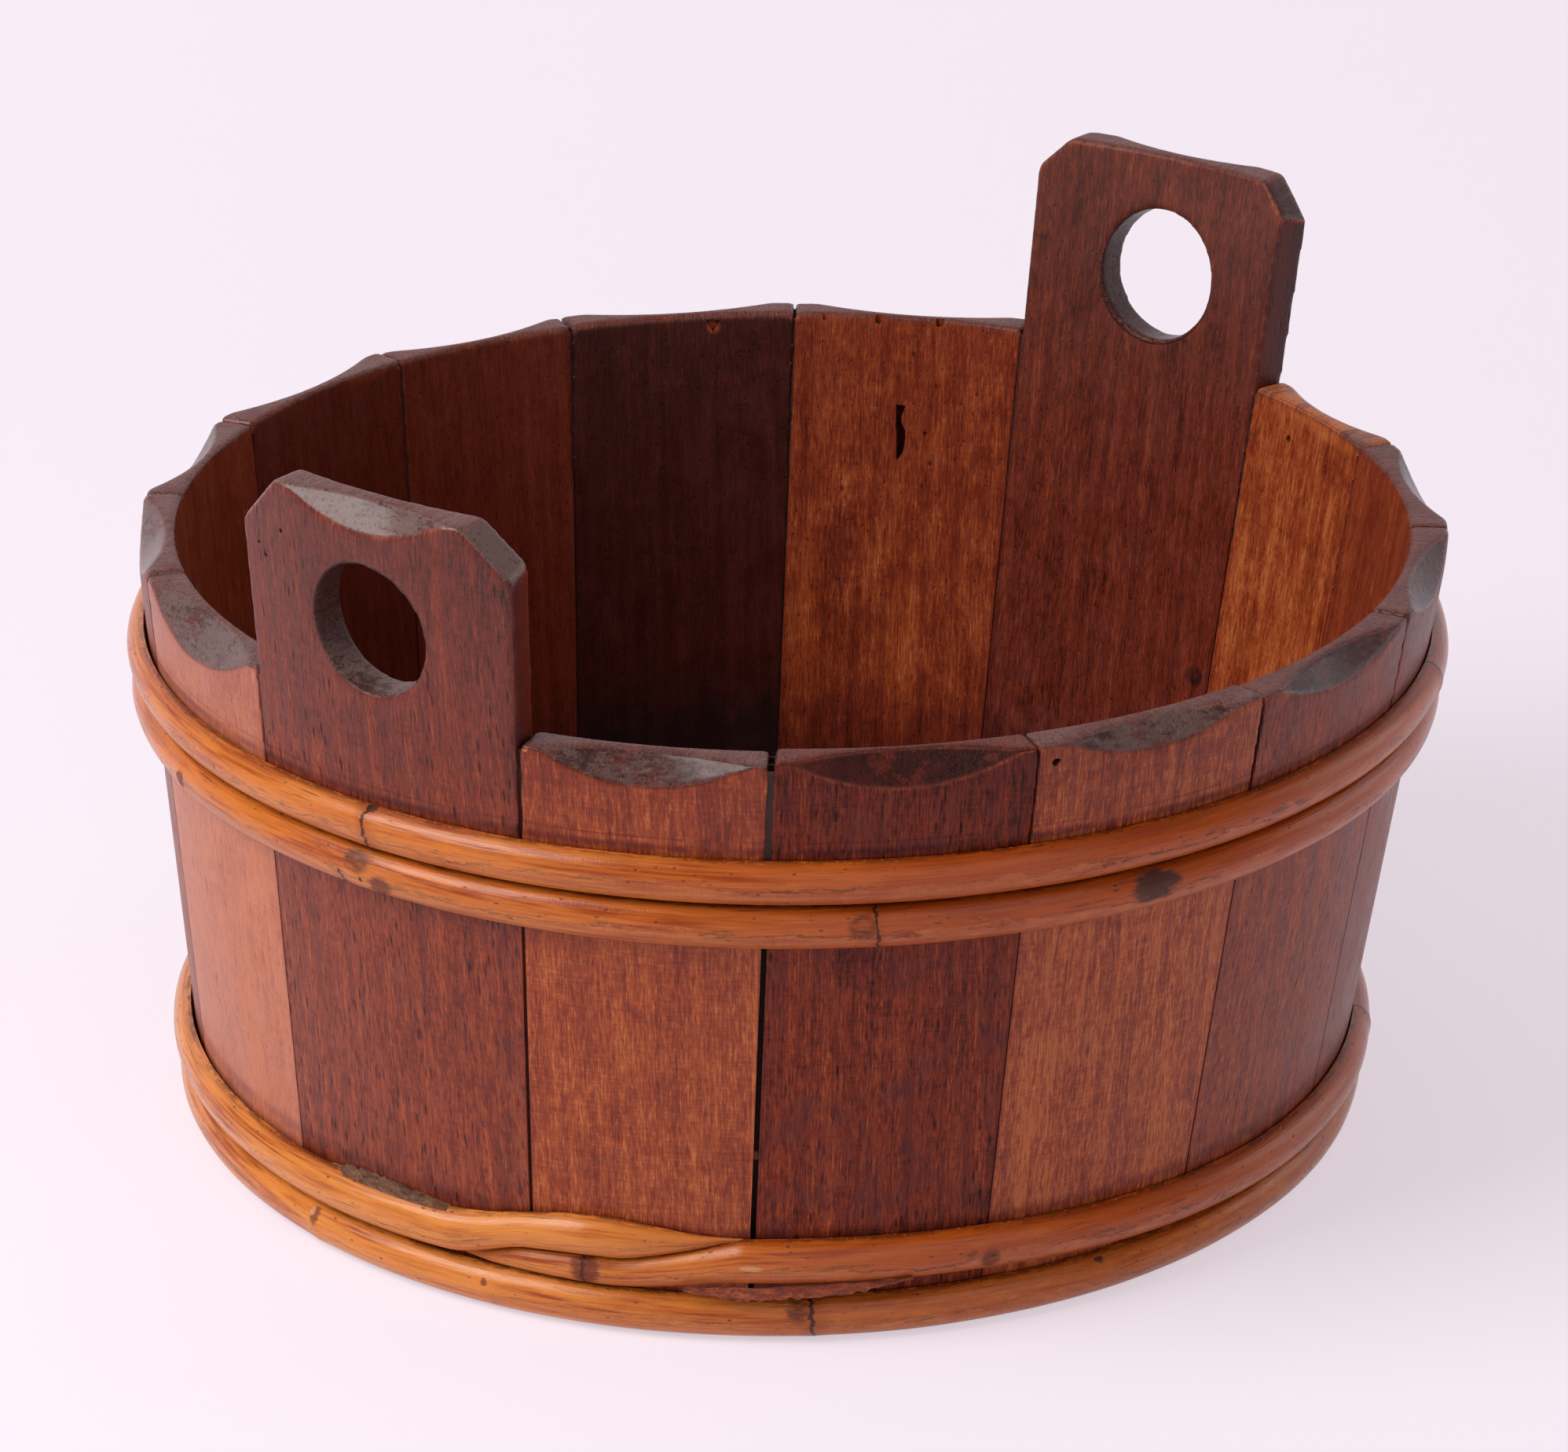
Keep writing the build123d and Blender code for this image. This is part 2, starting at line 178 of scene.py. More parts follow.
# Small hollows cut into the wall: stave, inside or not, azimuth, height, depth and outline in
# millimetres. An outline is a half width and half height for a ragged round one, or its corners.
SLOT = [(-1.3, 6.5), (-0.9, 5.4), (-0.3, 3.9), (-0.4, 2.3), (-1.4, 0.6), (-1.5, -1.5), (-1.0, -4.8),
        (0.2, -6.6), (0.6, -6.5), (0.7, -2.0), (1.0, 2.0), (1.0, 6.6)]
NICK = [(-1.5, 1.4), (0.2, -1.3), (1.7, 1.6)]
HOLLOWS = [
    ("handle_stave_near", False, 172.90, 0.1618, 0.0030, (0.45, 0.45)),
    ("handle_stave_near", False, 170.03, 0.1575, 0.0030, (0.40, 0.35)),
    ("handle_stave_near", False, 170.78, 0.1552, 0.0030, (0.55, 0.40)),
    ("stave_left_7", True, 25.33, 0.1013, 0.0024, SLOT),
    ("stave_left_7", True, 28.30, 0.1284, 0.0009, (0.8, 1.6)),
    ("stave_left_7", True, 21.88, 0.1284, 0.0010, (1.1, 1.3)),
    ("stave_left_7", True, 34.01, 0.1287, 0.0007, (0.5, 1.4)),
    ("stave_left_6", True, 45.48, 0.1261, 0.0009, NICK),
    ("stave_right_7", True, 337.66, 0.1210, 0.0030, (0.8, 1.1)),
    ("stave_right_3", False, 238.57, 0.1259, 0.0020, (0.8, 0.8)),
]

# Hoops: node, azimuth where its lap starts, its knuckles with azimuth and rise, its seed, how dry
# and yellow its left and right sides are, the left's extra yellow being painted highlight on the
# side towards the window lamp, and its marks. A mark has its kind, azimuth, half length, and its
# middle and half reach across the cane.
HOOPS = [
    ("hoop_upper_top", 62.0, [(181.5, 0.08), (33.0, 0.07), (292.0, 0.07)], 3.0, (0.55, 0.0),
     [("ring", 181.5, 0.0004, 0.36, 0.6), ("soot", 181.7, 0.0012, 0.66, 0.06),
      ("ring", 33.0, 0.0004, 0.36, 0.6), ("ring", 292.0, 0.0004, 0.36, 0.6)]),
    ("hoop_upper_bottom", 8.0,
     [(180.0, 0.07), (155.1, 0.06), (224.6, 0.05), (60.0, 0.07), (318.0, 0.07)], 13.0, (0.5, 0.0),
     [("scorch", 180.3, 0.0036, 0.50, 0.17), ("ring", 178.6, 0.0004, 0.20, 0.16),
      ("soot", 180.8, 0.0005, 0.30, 0.035), ("rust", 182.8, 0.0030, 0.25, 0.14),
      ("rust", 155.5, 0.0016, 0.36, 0.10), ("ring", 224.6, 0.0003, 0.36, 0.6),
      ("scorch", 223.4, 0.0030, 0.42, 0.16), ("soot", 248.3, 0.0060, 0.44, 0.20),
      ("ring", 60.0, 0.0004, 0.36, 0.6), ("ring", 318.0, 0.0004, 0.36, 0.6)]),
    ("hoop_lower_top", SPLICE_AT, [(200.6, 0.07), (40.0, 0.07), (300.0, 0.07)], 23.0, (1.0, 0.05),
     [("ring", 200.6, 0.0004, 0.36, 0.5), ("rust", 200.9, 0.0030, 0.40, 0.30),
      ("scorch", 236.8, 0.0022, 0.30, 0.14), ("chip", 215.6, 0.0024, 0.38, 0.035),
      ("ring", 40.0, 0.0004, 0.36, 0.6), ("ring", 300.0, 0.0004, 0.36, 0.6)]),
    ("hoop_lower_bottom", 30.0, [(171.4, 0.08), (221.2, 0.08), (86.0, 0.07)], 33.0, (1.0, 0.45),
     [("rust", 171.4, 0.0014, 0.50, 0.11), ("chip", 171.0, 0.0008, 0.53, 0.05),
      ("ring", 221.2, 0.0005, 0.36, 0.6), ("scorch", 219.9, 0.0025, 0.50, 0.16),
      ("rust", 191.2, 0.0007, 0.46, 0.045), ("soot", 248.5, 0.0014, 0.58, 0.05),
      ("ring", 86.0, 0.0004, 0.36, 0.6)]),
]

# --- the view -------------------------------------------------------------------------------
CAMERA_PLACE = Vector((-0.80791, -0.61404, 0.50862))
CAMERA_TURN = -52.75 + degrees(0.00146)
CAMERA_PITCH = degrees(-0.40127)
CAMERA_ROLL = degrees(0.0024)
CAMERA_LENS = 117.23
CAMERA_SENSOR = 36.0
FLOOR_WIDTH = 6.0
FLOOR_LENGTH = 4.2
FLOOR_IN_FRONT = 2.2
SWEEP_BEHIND = 0.40
SWEEP_RADIUS = 0.9
PAPER_GLOW = 0.6

# Lamps: name, azimuth, rise and distance from the vessel, size and power.
LAMPS = [
    ("window", 152.0, 42.0, 1.5, 0.9, 21.5),
    ("overhead", 60.0, 70.0, 1.7, 2.0, 4.5),
    ("front_fill", -118.0, 24.0, 2.2, 2.2, 13.0),
    ("side_fill", -37.0, 16.0, 1.8, 0.9, 4.0),
]


def polar(radius, azimuth):
    return Vector((radius * cos(radians(azimuth)), radius * sin(radians(azimuth)), 0.0))


def axis_point(height):
    """Middle of the vessel at a height."""
    return FOOT_MIDDLE + polar(LEAN * height / RIM_HEIGHT, LEAN_TOWARDS) + Vector((0, 0, height))


def outer_radius(height):
    return FOOT_RADIUS + (RIM_RADIUS - FOOT_RADIUS) * height / RIM_HEIGHT


def wall_point(height, azimuth, out=0.0):
    return axis_point(height) + polar(outer_radius(height) + out, azimuth)


def stave_joints():
    """Azimuths of the joints between the staves."""
    total = sum(row[1] for row in STAVES)
    joints = [FIRST_JOINT]
    for row in STAVES:
        joints.append(joints[-1] + 360 * row[1] / total)
    return joints


JOINTS = stave_joints()


# --- finishes: shader nodes -----------------------------------------------------------------
class Value:
    """A number that varies over a surface. Its operators add Math nodes."""

    def __init__(self, finish, socket):
        self.finish = finish
        self.socket = socket

    def math(self, operation, first, second=0.0):
        return self.finish.node("Math", {"operation": operation}, {0: first, 1: second})

    def __add__(self, other):
        return self.math("ADD", self, other)

    def __radd__(self, other):
        return self.math("ADD", other, self)

    def __sub__(self, other):
        return self.math("SUBTRACT", self, other)

    def __rsub__(self, other):
        return self.math("SUBTRACT", other, self)

    def __mul__(self, other):
        return self.math("MULTIPLY", self, other)

    def __rmul__(self, other):
        return self.math("MULTIPLY", other, self)

    def __truediv__(self, other):
        return self.math("DIVIDE", self, other)

    def __abs__(self):
        return self.math("ABSOLUTE", self)

    def __pow__(self, other):
        return self.math("POWER", self, other)


class Finish:
    """A material being made."""

    def __init__(self, name):
        self.material = bpy.data.materials.new(name)
        self.material.use_nodes = True
        self.tree = self.material.node_tree
        self.tree.nodes.clear()

    def node(self, kind, settings=None, sockets=None, output=0):
        """Add a node: its settings first, then the values or links of its sockets."""
        node = self.tree.nodes.new("ShaderNode" + kind)
        for name, value in (settings or {}).items():
            if name == "stops":
                steps = node.color_ramp.elements
                while len(steps) < len(value):
                    steps.new(1.0)
                for step, (place, colour) in zip(steps, value):
                    step.position, step.color = place, (*colour, 1.0)
            else:
                setattr(node, name, value)
        for name, value in (sockets or {}).items():
            if isinstance(value, Value):
                self.tree.links.new(value.socket, node.inputs[name])
            else:
                node.inputs[name].default_value = value
        return Value(self, node.outputs[output]) if len(node.outputs) else None

    def mix(self, factor, below, above):
        """Colour between two colours."""
        below, above = (c if isinstance(c, Value) else (*c, 1.0) for c in (below, above))
        settings = {"data_type": "RGBA", "clamp_factor": True}
        return self.node("Mix", settings, {0: factor, 6: below, 7: above}, 2)

    def step(self, value, low, high):
        """Nought below low, one above high, and smooth between."""
        return self.node("MapRange", {"interpolation_type": "SMOOTHSTEP"},
                         {"Value": value, "From Min": low, "From Max": high})

    def peak(self, value, middle, reach):
        """One at middle, falling to nought that far from it."""
        return 1 - self.step(abs(value - middle), 0.0, reach)

    def place(self, turn=0.0):
        """Point on the piece, turned about the upright axis."""
        point = self.node("TexCoord", output="Object")
        return self.node("Mapping", None, {"Vector": point, "Rotation": (0, 0, radians(turn))})

    def parts(self, point):
        """The three numbers of a point or direction."""
        apart = self.node("SeparateXYZ", None, {0: point})
        outputs = apart.socket.node.outputs
        return [Value(self, socket) for socket in outputs]

    def grain(self, point, size, seed=0.0, detail=3.0, rough=0.55, warp=0.0):
        """Noise whose features are about that size, in metres, along each axis."""
        scale = tuple(1 / length for length in size)
        point = self.node("Mapping", None, {"Vector": point, "Scale": scale,
                                            "Location": (seed, 2.3 * seed, 5.1 * seed)})
        return self.node("TexNoise", None, {"Vector": point, "Scale": 1.0, "Detail": detail,
                                            "Roughness": rough, "Distortion": warp})

    def cells(self, point, size, seed=0.0):
        """Distance to scattered spots whose cells are about that size along each axis."""
        scale = tuple(1 / length for length in size)
        point = self.node("Mapping", None, {"Vector": point, "Scale": scale,
                                            "Location": (seed, 1.7 * seed, 3.9 * seed)})
        return self.node("TexVoronoi", None, {"Vector": point, "Scale": 1.0}, "Distance")

    def done(self, colour, rough, bump, depth, coat=0.0, coat_rough=0.2, specular=0.5):
        """Finish the material. The coat's roughness and the specular level don't vary."""
        lift = self.node("Bump", None, {"Height": bump, "Distance": depth, "Strength": 1.0})
        body = self.node("BsdfPrincipled", None, {
            "Base Color": colour, "Roughness": rough, "Normal": lift, "Coat Weight": coat,
            "Coat Roughness": coat_rough, "Specular IOR Level": specular})
        self.node("OutputMaterial", None, {"Surface": body})
        return self.material


def wood_tones(finish, tone):
    """Colour of oiled wood from black dirt to pale, by its tone from nought to one."""
    colours = bpy.context.scene.piggin_colours
    return finish.node("ValToRGB", {"stops": [
        (0.0, colours.soot), (0.15, colours.umber), (0.35, colours.wine), (0.55, colours.russet),
        (0.75, colours.honey), (1.0, colours.tan)]}, {0: tone})


def stave_finish(index):
    """Oiled old wood with its grain upright, and the marks that this stave has."""
    name, _, tone, figure, plum, fleck, pores, raw = STAVES[index]
    colours = bpy.context.scene.piggin_colours
    turn = (JOINTS[index] + JOINTS[index + 1]) / 2
    half = radians((JOINTS[index + 1] - JOINTS[index]) / 2)
    seed = 11.0 + 7.3 * index
    finish = Finish(name + "_wood")
    handle = name.split("_")[-1]

    # Places on the stave, from the vessel's slanted axis.
    point = finish.place(-turn)
    outward, aside, height = finish.parts(point)
    middle = Matrix.Rotation(-radians(turn), 3, "Z") @ FOOT_MIDDLE
    lean = Matrix.Rotation(-radians(turn), 3, "Z") @ polar(LEAN / RIM_HEIGHT, LEAN_TOWARDS)
    aside = aside - middle.y - height * lean.y
    outward = outward - middle.x - height * lean.x
    from_axis = (outward * outward + aside * aside) ** 0.5
    depth = FOOT_RADIUS + height * ((RIM_RADIUS - FOOT_RADIUS) / RIM_HEIGHT) - from_axis
    inside = finish.step(depth, 0.55 * WALL, 0.95 * WALL)
    joint_near = abs(aside) / (from_axis * sin(half))

    # Its grain, from broad to fine, and its pores.
    blotch = finish.grain(point, (0.03, 0.007, 0.010), seed, 3, 0.6, 0.5)
    streak = finish.grain(point, (0.02, 0.0022, 0.05), seed + 1, 4, 0.6)
    dash = finish.grain(point, (0.01, 0.0005, 0.0030), seed + 3, 3, 0.7)
    cross = finish.grain(point, (0.01, 0.0060, 0.0006), seed + 4, 3, 0.7)
    fibre = finish.grain(point, (0.003, 0.00025, 0.008), seed + 2, 2, 0.6)
    pore = 1 - finish.step(finish.cells(point, (0.0018, 0.0011, 0.0065), seed), 0.10, 0.30)
    pore = pore * finish.step(finish.grain(point, (0.02, 0.008, 0.03), seed + 5, 2, 0.5), 0.36, 0.6)
    stroke = finish.grain(point, (0.01, 0.0009, 0.0042), seed + 8, 2, 0.6)
    stroke = finish.step(stroke, 0.56, 0.63) * finish.step(blotch, 0.42, 0.58)
    prick = 1 - finish.step(finish.cells(point, (0.0022, 0.0013, 0.0030), seed + 6), 0.08, 0.20)

    # How dark it is, with its marks, the grime beside joints and hoops, and darker inside towards
    # the foot.
    level = tone + ((blotch - 0.5) * 0.36 + (streak - 0.5) * 0.42 + (dash - 0.5) * 0.62
                    + (cross - 0.5) * (0.28 - inside * 0.16) + (fibre - 0.5) * 0.35) * figure
    level = level - finish.step(height, 0.104, 0.126) * (1 - inside) * 0.13
    level = level - inside * max(tone - 0.80, 0.0) * 2.0
    level = level - finish.step(height, 0.135, 0.165) * (1 - inside) * 0.08
    flecks = finish.step(dash * 0.6 + cross * 0.25 + blotch * 0.15, 0.53, 0.64)
    level = level + flecks * 0.16 * fleck
    level = level - (pore * 0.18 + stroke * 0.13) * pores - prick * (0.05 + inside * 0.14)
    for stave, within, azimuth, at, wide, high, fall in MARKS:
        if stave == name:
            place = (outer_radius(at) - WALL * within) * sin(radians(azimuth - turn))
            over, up = (aside - place) * (1 / wide), (height - at) * (1 / high)
            spot = 1 - finish.step(over * over + up * up + (dash - 0.5) * 2.0, 0.2, 1.3)
            level = level - spot * (inside if within else 1 - inside) * fall
    edge = finish.step(joint_near, 0.965, 1.0) * finish.step(dash, 0.42, 0.58)
    grime = finish.peak(height, 0.1104, 0.0013) + finish.peak(height, 0.1124, 0.0004) * 0.6
    grime = grime + finish.peak(height, 0.0235, 0.0025) * 0.7 + finish.peak(height, 0.0165, 0.006)
    grime = grime * finish.step(blotch + cross * 0.3, 0.45, 0.75) * (1 - inside)
    # Darker inside towards the foot.
    inner_foot_darkening = (1 - finish.step(height, 0.018, 0.045)) * inside
    level = level - edge * 0.22 - grime * 0.30 - inner_foot_darkening * 0.25

    # Its colour, with the old stain, the haze on a handle and what single staves have, among them
    # a painted reflection of the floor on stave_left_1.
    ground = wood_tones(finish, level)
    stain = finish.step(blotch * 0.45 + dash * 0.25 + cross * 0.30, 0.47, 0.60)
    scratch = finish.step(cross, 0.56, 0.64) * finish.step(streak, 0.44, 0.58)
    scratch = scratch.math("MAXIMUM", scratch, stroke)
    ground = finish.mix((stain * 0.8).math("MAXIMUM", stain * 0.8, scratch * 0.7) * plum, ground,
                        colours.plum)
    if handle in HOLE_RADIUS:
        faded = finish.step(height, 0.09, 0.165) * (inside * 0.10 + 0.08)
        ground = finish.mix(faded + dash * 0.02, ground, colours.ash)
    if name == "stave_left_1":
        # Painted reflection: a little of the floor's colour in blotches on the outside.
        ground = finish.mix(blotch * (1 - inside) * 0.08, ground, colours.floor)
    if name == "stave_right_1":
        along = (aside - outer_radius(0.041) * sin(radians(201.2 - turn))) * (1 / 0.0090)
        rise = (height - 0.0377) - along * 0.0052 - along * along * 0.0019
        hair = (1 - finish.step(abs(rise), 0.00004, 0.00013)) * finish.step(along, 0.0, 0.06)
        ground = finish.mix(hair * (1 - finish.step(along, 0.94, 1.0)) * 0.6, ground, colours.ash)

    rough = 0.40 + (streak - 0.5) * 0.3 + (blotch - 0.5) * 0.25 + pore * 0.2
    relief = fibre * 0.30 + streak * 0.3 + dash * 0.30 - pore * 0.8 * pores - prick * 0.4

    # The sides in the joints, dark, and those of a handle, whose two halves differ. The same dark
    # on the walls of the small hollows is painted shade.
    top = {"near": NEAR_TOP, "far": FAR_TOP}.get(handle, RIM_HEIGHT)
    in_wall = finish.step(depth, 0.10 * WALL, 0.22 * WALL)
    in_wall = in_wall * (1 - finish.step(depth, 0.80 * WALL, 0.92 * WALL))
    below = 1 - finish.step(height, RIM_HEIGHT - 0.0030, RIM_HEIGHT + 0.0010)
    # Dark joint sides; on the walls of the small hollows this is painted shade.
    ground = finish.mix(in_wall * below * 0.8, ground, colours.soot)
    two_toned = finish.step(depth + (streak - 0.5) * 0.002, 0.40 * WALL, 0.46 * WALL)
    two_toned = finish.mix(two_toned, colours.plum, colours.wine)
    ground = finish.mix(in_wall * (1 - below) * 0.7, ground, two_toned)

    # The sawn ends, the hollows cut in them, the hand hole and the rubbed edges, whose pale bands
    # are partly wear and partly painted highlight.
    east, north, rise = finish.parts(finish.node("NewGeometry", output=1))
    facing_out = east * cos(radians(turn)) + north * sin(radians(turn))
    rim = finish.step(height, top - 0.0180, top - 0.0160)
    ends = finish.step(rise + (dash - 0.5) * 0.20, 0.28, 0.42) * rim
    facing_aside = north * cos(radians(turn)) - east * sin(radians(turn))
    hollow = finish.step(facing_out, 0.20, 0.42)
    hollow = hollow.math("MAXIMUM", hollow, finish.step(abs(facing_aside), 0.40, 0.60))
    # Pale bands along the rim's arrises: partly real wear, partly painted highlight.
    rubbed = finish.peak(rise + (dash - 0.5) * 0.25, 0.34, 0.26) * rim
    rubbed = rubbed + finish.peak(rise, 0.85, 0.10) * rim * hollow * 0.6
    # Painted highlight: a pale line along the rim's inner arris.
    rubbed = rubbed + finish.peak(rise, 0.72, 0.20) * rim * finish.step(0 - facing_out, 0.3, 0.6)
    polished = hollow
    if handle in HOLE_RADIUS:
        up = height - (top - HOLE_DOWN[handle])
        bore = 1 - finish.step((aside * aside + up * up) ** 0.5, HOLE_RADIUS[handle] + 0.0003,
                               HOLE_RADIUS[handle] + 0.0009)
        polished = hollow * (1 - bore)
        ends = ends.math("MAXIMUM", ends, bore)
        hollow = hollow.math("MAXIMUM", hollow, bore)
    ends = ends.math("MAXIMUM", ends, finish.step(0 - rise, 0.6, 0.9))
    rust = 0.1 if handle in HOLE_RADIUS else 0.6
    end_ground, end_rough, end_relief = end_grain(finish, point, hollow, raw, rust)
    if name == "stave_right_7":
        end_ground = finish.mix(finish.step(blotch + dash * 0.4, 0.55, 0.75) * 0.8, end_ground,
                                colours.tan)
    if handle in HOLE_RADIUS:
        # Painted shade: the hand hole's wall darkened, least towards its foot.
        shaded = bore * (1 - finish.step((0 - up) * (1 / HOLE_RADIUS[handle]), 0.3, 0.85) * 0.8)
        end_ground = finish.mix(shaded * 0.75, end_ground, colours.umber)
    ground = finish.mix(ends, ground, end_ground)
    # Paler tone laid on the rubbed bands: partly wear, partly painted highlight.
    wear_and_highlight = wood_tones(finish, finish.step(blotch * 0.5 + dash * 0.5, 0.38, 0.62) * 0.45 + 0.30)
    ground = finish.mix(rubbed * 0.75, ground, wear_and_highlight)
    rough = rough + (end_rough - rough) * ends - rubbed * 0.10
    relief = relief + (end_relief - relief) * ends
    coat = ends * polished * min(raw, 0.6) * 0.5 + rubbed * 0.12 + 0.04
    specular = 0.25 if raw > 0.3 else 0.12      # a stave whose hollow is dark reflects less
    return finish.done(ground, rough, relief, WOOD_RELIEF, coat, 0.16, specular)


def end_grain(finish, point, hollow, raw, rusty):
    """Colour, roughness and relief of sawn end grain, and of the hollows cut in it, from dark
    and polished to grey and raw, with rust-coloured patches."""
    colours = bpy.context.scene.piggin_colours
    broad = finish.grain(point, (0.010, 0.010, 0.010), 3.0 + raw, 3, 0.5)
    chop = finish.grain(point, (0.0030, 0.0030, 0.0009), 5.0, 4, 0.7, 0.5)
    saw = finish.grain(point, (0.0060, 0.0008, 0.004), 24.0, 3, 0.6, 0.6)
    pore = 1 - finish.step(finish.cells(point, (0.0012, 0.0012, 0.0012), 8.0), 0.12, 0.30)
    crumb = finish.grain(point, (0.0008, 0.0008, 0.0008), 9.0, 3, 0.7)
    ground = finish.mix(finish.step(broad, 0.35, 0.65), colours.umber, colours.wine)
    ground = finish.mix((1 - hollow) * 0.5, ground, colours.russet)
    ground = finish.mix(hollow * (0.55 * (1 - raw)), ground, colours.soot)
    patchy = broad * 0.35 + chop * 0.45 + crumb * 0.2
    dry = finish.step(patchy, 0.60 - 0.22 * raw, 0.70 - 0.22 * raw) * min(0.95 * raw, 0.9)
    land_dry = finish.step(crumb * 0.3 + broad * 0.3 + saw * 0.4, 0.42, 0.56) * (0.15 + 0.5 * raw)
    ground = finish.mix(land_dry + (dry - land_dry) * hollow, ground, colours.ash)
    rust = finish.step(finish.grain(point, (0.006, 0.006, 0.003), 7.0, 3, 0.6), 0.54, 0.64)
    ground = finish.mix(rust * rusty, ground, wood_tones(finish, crumb * 0.5 + 0.15))
    ground = finish.mix(pore * 0.4, ground, colours.soot)
    ground = finish.mix(finish.step(crumb, 0.60, 0.72) * 0.4 * raw, ground, colours.tan)
    rough = 0.34 + crumb * 0.10 - hollow * (0.18 * (1 - raw))
    rugged = 2.0 + 24.0 * raw * (1 - raw) * (1 if rusty > 0.3 else 0.1)
    relief = chop * hollow * rugged + saw * (1 - hollow) * 2.0 + crumb * 1.6 - pore * 1.0
    return ground, rough, relief


def cane_finish(name, seed, start, length, tan, marks):
    """Varnished split cane: its map's first axis runs along it, the second across it. A mark has
    its kind, azimuth, half length in metres, and its middle and half reach across the cane."""
    colours = bpy.context.scene.piggin_colours
    finish = Finish(name)
    along, across, _ = finish.parts(finish.node("UVMap", {"uv_map": "cane"}))
    run = along * length
    # One on the cane's left, the side towards the window lamp, where painted light goes.
    lit_side = (along * (360 + LAP_ANGLE) + (start - 165)) * radians(1)
    lit_side = finish.step(lit_side.math("COSINE", lit_side), 0.35, 0.95)
    spot = finish.node("CombineXYZ", None, {0: run, 1: across * 0.016, 2: seed})
    wide = finish.grain(spot, (0.030, 0.003, 1.0), seed, 3, 0.5, 0.3)
    fibre = finish.grain(spot, (0.018, 0.0006, 1.0), seed + 1, 4, 0.65)
    hatch = finish.grain(spot, (0.00030, 0.005, 1.0), seed + 2, 2, 0.5)
    ragged = finish.grain(spot, (0.0055, 0.0014, 1.0), seed + 3, 4, 0.7)
    speck = 1 - finish.step(finish.cells(spot, (0.0032, 0.0014, 1.0), seed + 4), 0.07, 0.19)
    speck = speck * finish.step(ragged, 0.46, 0.56)

    # Bare and pinkish below a wavering line, varnished and golden above it.
    edge = across + (ragged - 0.5) * 0.34 + (wide - 0.5) * 0.30
    varnished = finish.step(edge, 0.330, 0.360)
    pale = finish.mix(finish.step(fibre, 0.35, 0.65), colours.cane_pink, colours.cane_pale)
    pale = finish.mix(finish.step(hatch, 0.45, 0.7) * 0.35, pale, colours.cane_deep)
    gold = finish.mix(finish.step(fibre * 0.5 + wide * 0.3 + ragged * 0.2, 0.38, 0.60),
                      colours.cane_deep, colours.cane_gold)
    ground = finish.mix(varnished, pale, gold)
    line = finish.peak(edge, 0.350, 0.030)
    ground = finish.mix(line * finish.step(wide, 0.42, 0.52) * 0.85, ground, colours.cane_burnt_and_shade)
    flake = finish.step(ragged, 0.60, 0.66) * finish.step(fibre, 0.45, 0.55) * varnished
    ground = finish.mix(flake * 0.5, ground, colours.cane_pale)
    # Dry yellow cane, with extra on the side towards the window lamp as painted highlight.
    dried_and_lit = finish.step(wide * 0.5 + fibre * 0.5, 0.34, 0.60) * (lit_side * (tan[0] - tan[1]) + tan[1])
    ground = finish.mix(dried_and_lit, ground, colours.cane_tan)
    # Painted shade: the side away from the window lamp darkened.
    ground = finish.mix((1 - lit_side) * finish.step(fibre * 0.4 + ragged * 0.6, 0.40, 0.56) * 0.5,
                        ground, colours.cane_deep)

    # Dark streaks and specks, and the marks that this hoop has.
    streak = finish.step(fibre, 0.60, 0.70) * finish.step(wide, 0.48, 0.6)
    ground = finish.mix(streak * 0.65, ground, colours.cane_burnt_and_shade)
    ground = finish.mix(speck * 0.7, ground, colours.cane_burnt_and_shade)
    relief = fibre * 0.60 + varnished * 0.4 - speck * 0.5 + hatch * 0.12 + ragged * 0.35
    rough = 0.27 - varnished * 0.11 + ragged * 0.12
    for kind, azimuth, reach, at, high in marks:
        place = ((azimuth - start) % 360) / (360 + LAP_ANGLE) * length
        over = (run - place) * (1 / reach)
        up = (across - at) * (1 / high)
        if kind == "ring":
            gap = abs(run - place + (ragged - 0.5) * 0.0035 + (across - 0.36) * 0.0012)
            ring = (1 - finish.step(gap, 0.4 * reach, reach)) * (1 - finish.step(abs(up), 0.8, 1.0))
            glow = (1 - finish.step(gap, reach, 9 * reach)) * (1 - finish.step(abs(up), 0.7, 1.0))
            ground = finish.mix(glow * 0.45, ground, colours.cane_deep)
            ground = finish.mix(ring * 0.9, ground, colours.soot)
            relief = relief - ring * 1.2
            continue
        patch = 1 - finish.step(over * over + up * up + (ragged - 0.5) * 2.6, 0.35, 1.2)
        if kind == "soot":
            ground = finish.mix(patch * 0.85, ground, colours.soot)
        elif kind == "scorch":
            spots = finish.step(ragged * 0.8 + fibre * 0.2, 0.42, 0.56)
            ground = finish.mix(patch * (spots * 0.6 + 0.2), ground, colours.cane_burnt_and_shade)
        elif kind == "chip":
            ground = finish.mix(patch * 0.6, ground, colours.cane_bare)
        else:
            ground = finish.mix(patch * 0.75, ground, colours.wine)
        relief = relief - patch * 0.4
        rough = rough + patch * 0.3

    # Painted shade along its lower edge, and dirt along its upper edge, where the round face ends.
    shade = 1 - finish.step(across, 0.03, 0.12)
    top = finish.step(across, 0.60, 0.71) * (1 - finish.step(across, 0.74, 0.78))
    ground = finish.mix(shade * 0.5 + top * finish.step(ragged, 0.44, 0.52) * 0.7, ground,
                        colours.cane_burnt_and_shade)
    crust = top * finish.step(finish.cells(spot, (0.0012, 0.0010, 1.0), seed + 6), 0.30, 0.15)
    ground = finish.mix(crust * 0.8, ground, colours.cane_pale)
    return finish.done(ground, rough, relief, CANE_RELIEF, 0.08, 0.12, 0.28)


